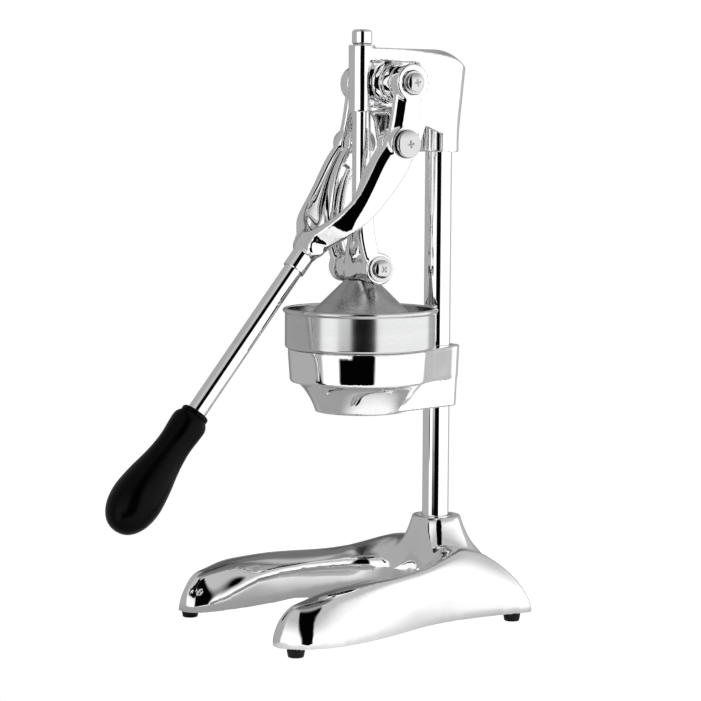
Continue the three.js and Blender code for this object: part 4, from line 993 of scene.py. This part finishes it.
def fork_body(x, y, z):
    reach, place = nearest_on(arm_line, y, z)
    line_y, line_z, middle, half_width, half_thick = (along_line(place, column) for column in arm_rows.T)
    heading_y, heading_z = (along_line(place, column) for column in arm_heading.T)
    lean = along_line(place, arm_lean)
    half_thick = half_thick * np.sqrt(1 + lean ** 2)
    out = np.sqrt(x ** 2 + crotch_blend ** 2)
    arm = squared_bar((out - middle) / half_thick, reach / half_width, arm_squareness, arm_depth)
    ahead = (z - line_z) * heading_y - (y - line_y) * heading_z
    turn = bevel_turn - bevel_ease * np.arctan(np.abs(lean))
    from_edge = (out - middle - half_thick) * np.cos(turn) + (ahead - half_width) * np.sin(turn)
    before_crotch = np.clip((len(arm_rows) - place) / bevel_fade, 0, 1)
    arm = common(arm, (from_edge + bevel_depth * before_crotch, 1))
    top_end = eye_at(top_pivot, x, y, z, top_eye, arm_inner, arm_outer, 1.2)
    mid_end = eye_at(mid_pivot, x, y, z, mid_eye, arm_inner, arm_outer, 1.2)
    down = (y - socket_top[0]) * down_bar[0] + (z - socket_top[1]) * down_bar[1]
    behind = (y - socket_top[0]) * fork_normal[0] + (z - socket_top[1]) * fork_normal[1]
    stub = common(np.hypot(x, behind) - stub_radius, (down - stub_length, 0.4), (-socket_radius - down, 3))
    body = join(arm, (join(top_end, (mid_end, 1)), 2.5), (stub, 6.5))
    holes = [np.maximum(from_pivot(pivot, y, z) - bore, floor - np.abs(x)) for pivot, bore, floor in (
        (top_pivot, bush_bore, bush_floor), (top_pivot, pivot_bore, top_hole_floor),
        (mid_pivot, pivot_bore, mid_hole_floor))]
    return cut(body, (np.minimum.reduce(holes), 0.5))


fork = poured("fork_casting", "fork", fork_body, 1.15, fine_chrome)
fitted(fork, "lever", "chrome_steel", "fork")


def along_bar():
    """Local z runs down the bar from the middle of the fork's crotch."""
    down = np.array([0, *down_bar])
    behind = np.array([0, *fork_normal])
    return np.stack([np.cross(behind, down), behind, down]), np.array([0, *socket_top])


bar_hole = bar_radius + hole_gap
lead_start, lead_end, lead_in = 3.4, 4, 0.4
socket = spun("fork_socket", [
    (bar_hole, lead_start, 0.2), (socket_radius - lead_in, lead_start, 0.2), (socket_radius, lead_end, 0.3),
    (socket_radius, socket_length, 0.4), (bar_hole, socket_length, 0.3)],
    80, along_bar(), fine_chrome, closed=True)
fitted(socket, "lever", "chrome_steel", "fork")


# Handle bar. A chromed steel bar pressed into the fork's socket; the grip is driven over its lower end.
# Its ends are broken by a small bevel, and neither of them shows.
bar_start, bar_end = 5.3, 225.3
handle_bar = spun("handle_bar_chromed", [
    (0, bar_start, 0), (bar_radius, bar_start, 0.5), (bar_radius, bar_end, 0.5), (0, bar_end, 0)],
    80, along_bar(), bar_chrome)
fitted(handle_bar, "lever", "chrome_steel", "handle_bar")


# Grip and ring. Moulded in black plastic with a satin skin; it swells like a bulb towards its round end.
# The ring covers the joint between grip and bar.
def satin_plastic():
    finish = Finish("satin_plastic")
    new, worn = (0.0006, 0.0006, 0.0008), (0.0012, 0.0012, 0.0014)
    grain = finish.noise(scale=2200)
    handled = finish.ramp(finish.noise(scale=40, detail=3), start=0.4, end=0.7)
    return finish.surface({
        "Base Color": finish.tint(handled, new, worn),
        "Roughness": handled * 0.08 + grain * 0.05 + 0.2,
        "Specular IOR Level": 0.08,
        "Normal": finish.relief(grain, 0.012 * mm),
    })


plastic = satin_plastic()
grip_start, grip_length, grip_radius = 150, 99, 18.8
grip_shares = [
    # along and out, as shares of the grip's length and radius
    [0, 0.55], [0.03, 0.66], [0.075, 0.7], [0.16, 0.675], [0.26, 0.66], [0.4, 0.74], [0.53, 0.875],
    [0.64, 0.965], [0.73, 1], [0.82, 0.95], [0.9, 0.8], [0.96, 0.56], [0.99, 0.3], [1, 0.06]]
grip_curve = curve_through(grip_shares, steps=6) * [grip_length, grip_radius] + [grip_start, 0]
hole_end = bar_end + hole_gap
grip = spun("grip_moulded", [
    (0, hole_end, 0), (bar_hole, hole_end, 0.3), (bar_hole, grip_start, 0.3),
    *[(radius, along, 0) for along, radius in grip_curve], (0, grip_start + grip_length, 0)],
    96, along_bar(), plastic)
fitted(grip, "lever", "black_plastic", "grip")
joint_start, joint_end, joint_radius, joint_bevel = 146.3, 149.7, 10.4, 0.9
joint_ring = spun("grip_ring_moulded", [
    (bar_hole, joint_start, 0.3), (joint_radius - 0.8, joint_start, 0.6),
    (joint_radius, joint_start + joint_bevel, 0.6), (joint_radius, joint_end, 0.4), (bar_hole, joint_end, 0.3)],
    80, along_bar(), plastic, closed=True)
fitted(joint_ring, "lever", "black_plastic", "grip_ring")


# Pivot hardware. Pan-head screws with a cross recess, in turned bushes above and on washers below.
# The mid pivots carry a bright washer and a dark spacer under the head; all but the spacers are chromed.
screw_chrome = mirror_chrome("screw_chrome", roll=0.05, roll_size=9, haze=0.1, bright=0.62)
dome_rise, head_height = 2, 4
recess_reach, recess_width, recess_depth, recess_taper, recess_cone = 2.9, 0.62, 1.7, 1.3, 1.1
shank_radius, shank_overlap, quads_per_radius = 4, 0.6, 22


def pan_screw(name, radius, tip, top, turn, place):
    """A pan head about local z, with a turned cross recess, and the shank below it, as one piece."""
    ball = (radius ** 2 + dome_rise ** 2) / (2 * dome_rise)
    face = top - head_height

    def head(x, y, z):
        out = np.hypot(x, y)
        dome = np.sqrt(out ** 2 + (z - top + ball) ** 2) - ball
        body = common(dome, (out - radius, 1.1), (face - z, 0.3))
        sunk = np.clip(top - z, 0, recess_depth) / recess_depth
        across = x * math.cos(turn) + y * math.sin(turn)
        along = y * math.cos(turn) - x * math.sin(turn)
        arms = np.minimum(rounded_box(across, along, (recess_reach, recess_width), 0.3),
                          rounded_box(across, along, (recess_width, recess_reach), 0.3))
        recess = join(arms + recess_taper * sunk ** 2, (out - recess_cone + sunk, 0.5))
        return cut(body, (np.maximum(recess, top - recess_depth - z), 0.35))

    around = np.array([radius, radius, 0]) + 1
    places, faces, _ = cast(head, [0, 0, face] - around, [0, 0, top] + around, radius / quads_per_radius)
    shank_end = face + shank_overlap
    shank, shank_faces = turned(eased([(0, tip, 0), (shank_radius, tip, 0.4), (shank_radius, shank_end, 0),
                                       (0, shank_end, 0)], False), 32)
    basis, origin = place
    count = len(places)
    faces = faces.tolist() + [[corner + count for corner in loop] for loop in shank_faces]
    piece = shaped(name, np.vstack([places, shank]) @ basis + origin, faces, None, screw_chrome)
    even_shading(piece)
    return piece


def outward(node, side):
    """Nearest and farthest distance of one solid from the middle of the press."""
    low, high = measured(node)
    return sorted((low[0] * side, high[0] * side))


for name, side in (("left", -1), ("right", 1)):
    for node, piece_name, radius, pivot, body, slot, finish in (
            ("top_pivot_bush", "pivot_bush", 8.5, top_pivot, "lever", "chrome_steel", screw_chrome),
            ("mid_pivot_washer", "bright_washer", 11, mid_pivot, "lever", "chrome_steel", screw_chrome),
            ("mid_pivot_spacer", "dark_spacer", 10.2, mid_pivot, "lever", "black_plastic", plastic),
            ("lower_pivot_washer", "lower_washer", 9.5, low_pivot, "ram", "chrome_steel", screw_chrome)):
        start, end = outward(f"{node}_{name}", side)
        washer = spun(f"{piece_name}_{name}", [
            (pivot_bore, start, 0.2), (radius, start, 0.3), (radius, end, 0.35), (pivot_bore, end, 0.2)],
            64, sideways(side, pivot), finish, closed=True)
        fitted(washer, body, slot, f"{node}_{name}")
    for node, radius, turn, pivot, body in (
            ("top_pivot_screw", 7, 0.2, top_pivot, "frame"),
            ("mid_pivot_screw", 10, 0.1, mid_pivot, "lever"),
            ("lower_pivot_screw", 6.8, 0.75, low_pivot, "ram")):
        start, end = outward(f"{node}_{name}", side)
        screw = pan_screw(f"{node}_turned_{name}", radius, start, end, turn, sideways(side, pivot))
        fitted(screw, body, "chrome_steel", f"{node}_{name}")


# Studio. A pale seamless floor, and broad white light from all round with a dark slot at the camera,
# which draws the long black lines on the chrome, and a greyer wall behind the press.
camera_azimuth, camera_distance, camera_height = math.radians(58.49), 1763.2, 368.6
camera_yaw, camera_pitch, camera_roll = math.radians(58.72), math.radians(5.33), math.radians(0.35)
focal_pixels, image_pixels, sensor_width = 2389.7, 701, 36
wall_level, behind_drop, left_drop, gap_drop, overhead_drop = 0.56, 0.2, 0.12, 0.5, 0.7
panel_level, slot_level = 1.25, 0.001
floor_radius, floor_grey, painted_floor_glow = 340, (0.25, 0.25, 0.25, 1), (0.26, 0.95)


def studio_light():
    """The light that the press reflects, by compass turn from the camera and height, both in degrees."""
    light = Finish("studio_light", "worlds")
    bpy.context.scene.world = light.owner
    direction = light.node("ShaderNodeTexCoord", {}, {}, "Generated")
    x = light.node("ShaderNodeSeparateXYZ", {}, {"Vector": direction}, "X")
    y, z = x.beside("Y"), x.beside("Z")
    facing = math.atan2(-math.cos(camera_azimuth), math.sin(camera_azimuth))
    forward = x * math.cos(facing) + y * math.sin(facing)
    sideward = y * math.cos(facing) - x * math.sin(facing)
    turn = sideward.math("ARCTAN2", forward) * math.degrees(1)
    height = z.math("ARCSINE") * math.degrees(1)

    def window(start, end, soft):
        return light.ramp(turn, start - soft, start + soft) * light.ramp(turn, end - soft, end + soft, 1, 0)

    panels = window(start=24, end=128, soft=3) + window(start=-62, end=-13, soft=3)
    panels = panels * light.ramp(height, start=12, end=44, low=1, high=0)
    away = turn.math("ABSOLUTE")
    behind = light.ramp(away, start=140, end=165)
    left = light.ramp(turn, start=-70, end=-56, low=1, high=0)
    gap = light.ramp(away, start=150, end=164) * light.ramp(height, start=18, end=30)
    overhead = light.ramp(height, start=68, end=80)
    wall = (wall_level - behind * behind_drop - left * left_drop) * (1 - gap * gap_drop)
    wall = wall * (1 - overhead * overhead_drop)
    below = light.ramp(height, start=-10, end=-3, low=1, high=0)
    slot = window(start=-13, end=24, soft=2.5) + window(start=-34, end=-13, soft=2.5) * below
    slot = slot * light.ramp(height, start=60, end=75, low=1, high=0)
    glow = (wall * (1 - panels) + panels * panel_level) * (1 - slot) + slot * slot_level
    reflected = light.node("ShaderNodeBackground", {}, {"Color": light.grey(glow), "Strength": 1.0})
    seen = light.node("ShaderNodeBackground", {}, {"Color": (1, 1, 1, 1), "Strength": 1.0})
    camera_ray = light.node("ShaderNodeLightPath", {}, {}, "Is Camera Ray")
    both = light.node("ShaderNodeMixShader", {}, {0: camera_ray, 1: reflected, 2: seen})
    light.node("ShaderNodeOutputWorld", {}, {"Surface": both})


def pale_floor():
    """White to the eye. In reflections it glows with painted light, a paler grey to the right of the press than
    to its left.
    """
    finish = Finish("pale_floor")
    seen = finish.node("ShaderNodeLightPath", {}, {}, "Is Camera Ray")
    across = finish.node("ShaderNodeSeparateXYZ", {}, {"Vector": finish.place()}, "X")
    # Painted light: the floor's glow brightens towards the right of the press, standing in for light falling
    # there.
    painted_glow = finish.ramp(across, 0, 0.16, *painted_floor_glow)
    return finish.surface({
        "Base Color": floor_grey,
        "Roughness": 0.9,
        "Emission Color": finish.grey(seen.math("MAXIMUM", painted_glow)),
        "Emission Strength": 1.0,
    })


studio_light()
rim = [[math.cos(turn), math.sin(turn), 0] for turn in np.linspace(0, 2 * math.pi, 96, endpoint=False)]
floor = shaped("studio_floor", np.array(rim) * floor_radius, [range(len(rim))], None, pale_floor())

lens = bpy.data.cameras.new("studio_camera")
lens.sensor_width = sensor_width
lens.lens = focal_pixels / image_pixels * sensor_width
lens.clip_end = 100
stand = Matrix.Rotation(camera_azimuth, 4, "Z") @ Vector((0, -camera_distance, camera_height))
aim = Matrix.Rotation(camera_yaw, 4, "Z") @ Matrix.Rotation(math.pi / 2 - camera_pitch, 4, "X")
camera = bpy.data.objects.new("studio_camera", lens)
camera.matrix_world = (Matrix.Translation((stand + Vector(rod_axis)) * mm) @ aim
                       @ Matrix.Rotation(camera_roll, 4, "Z"))
bpy.context.scene.collection.objects.link(camera)
bpy.context.scene.camera = camera
bpy.context.scene.view_settings.view_transform = "Standard"
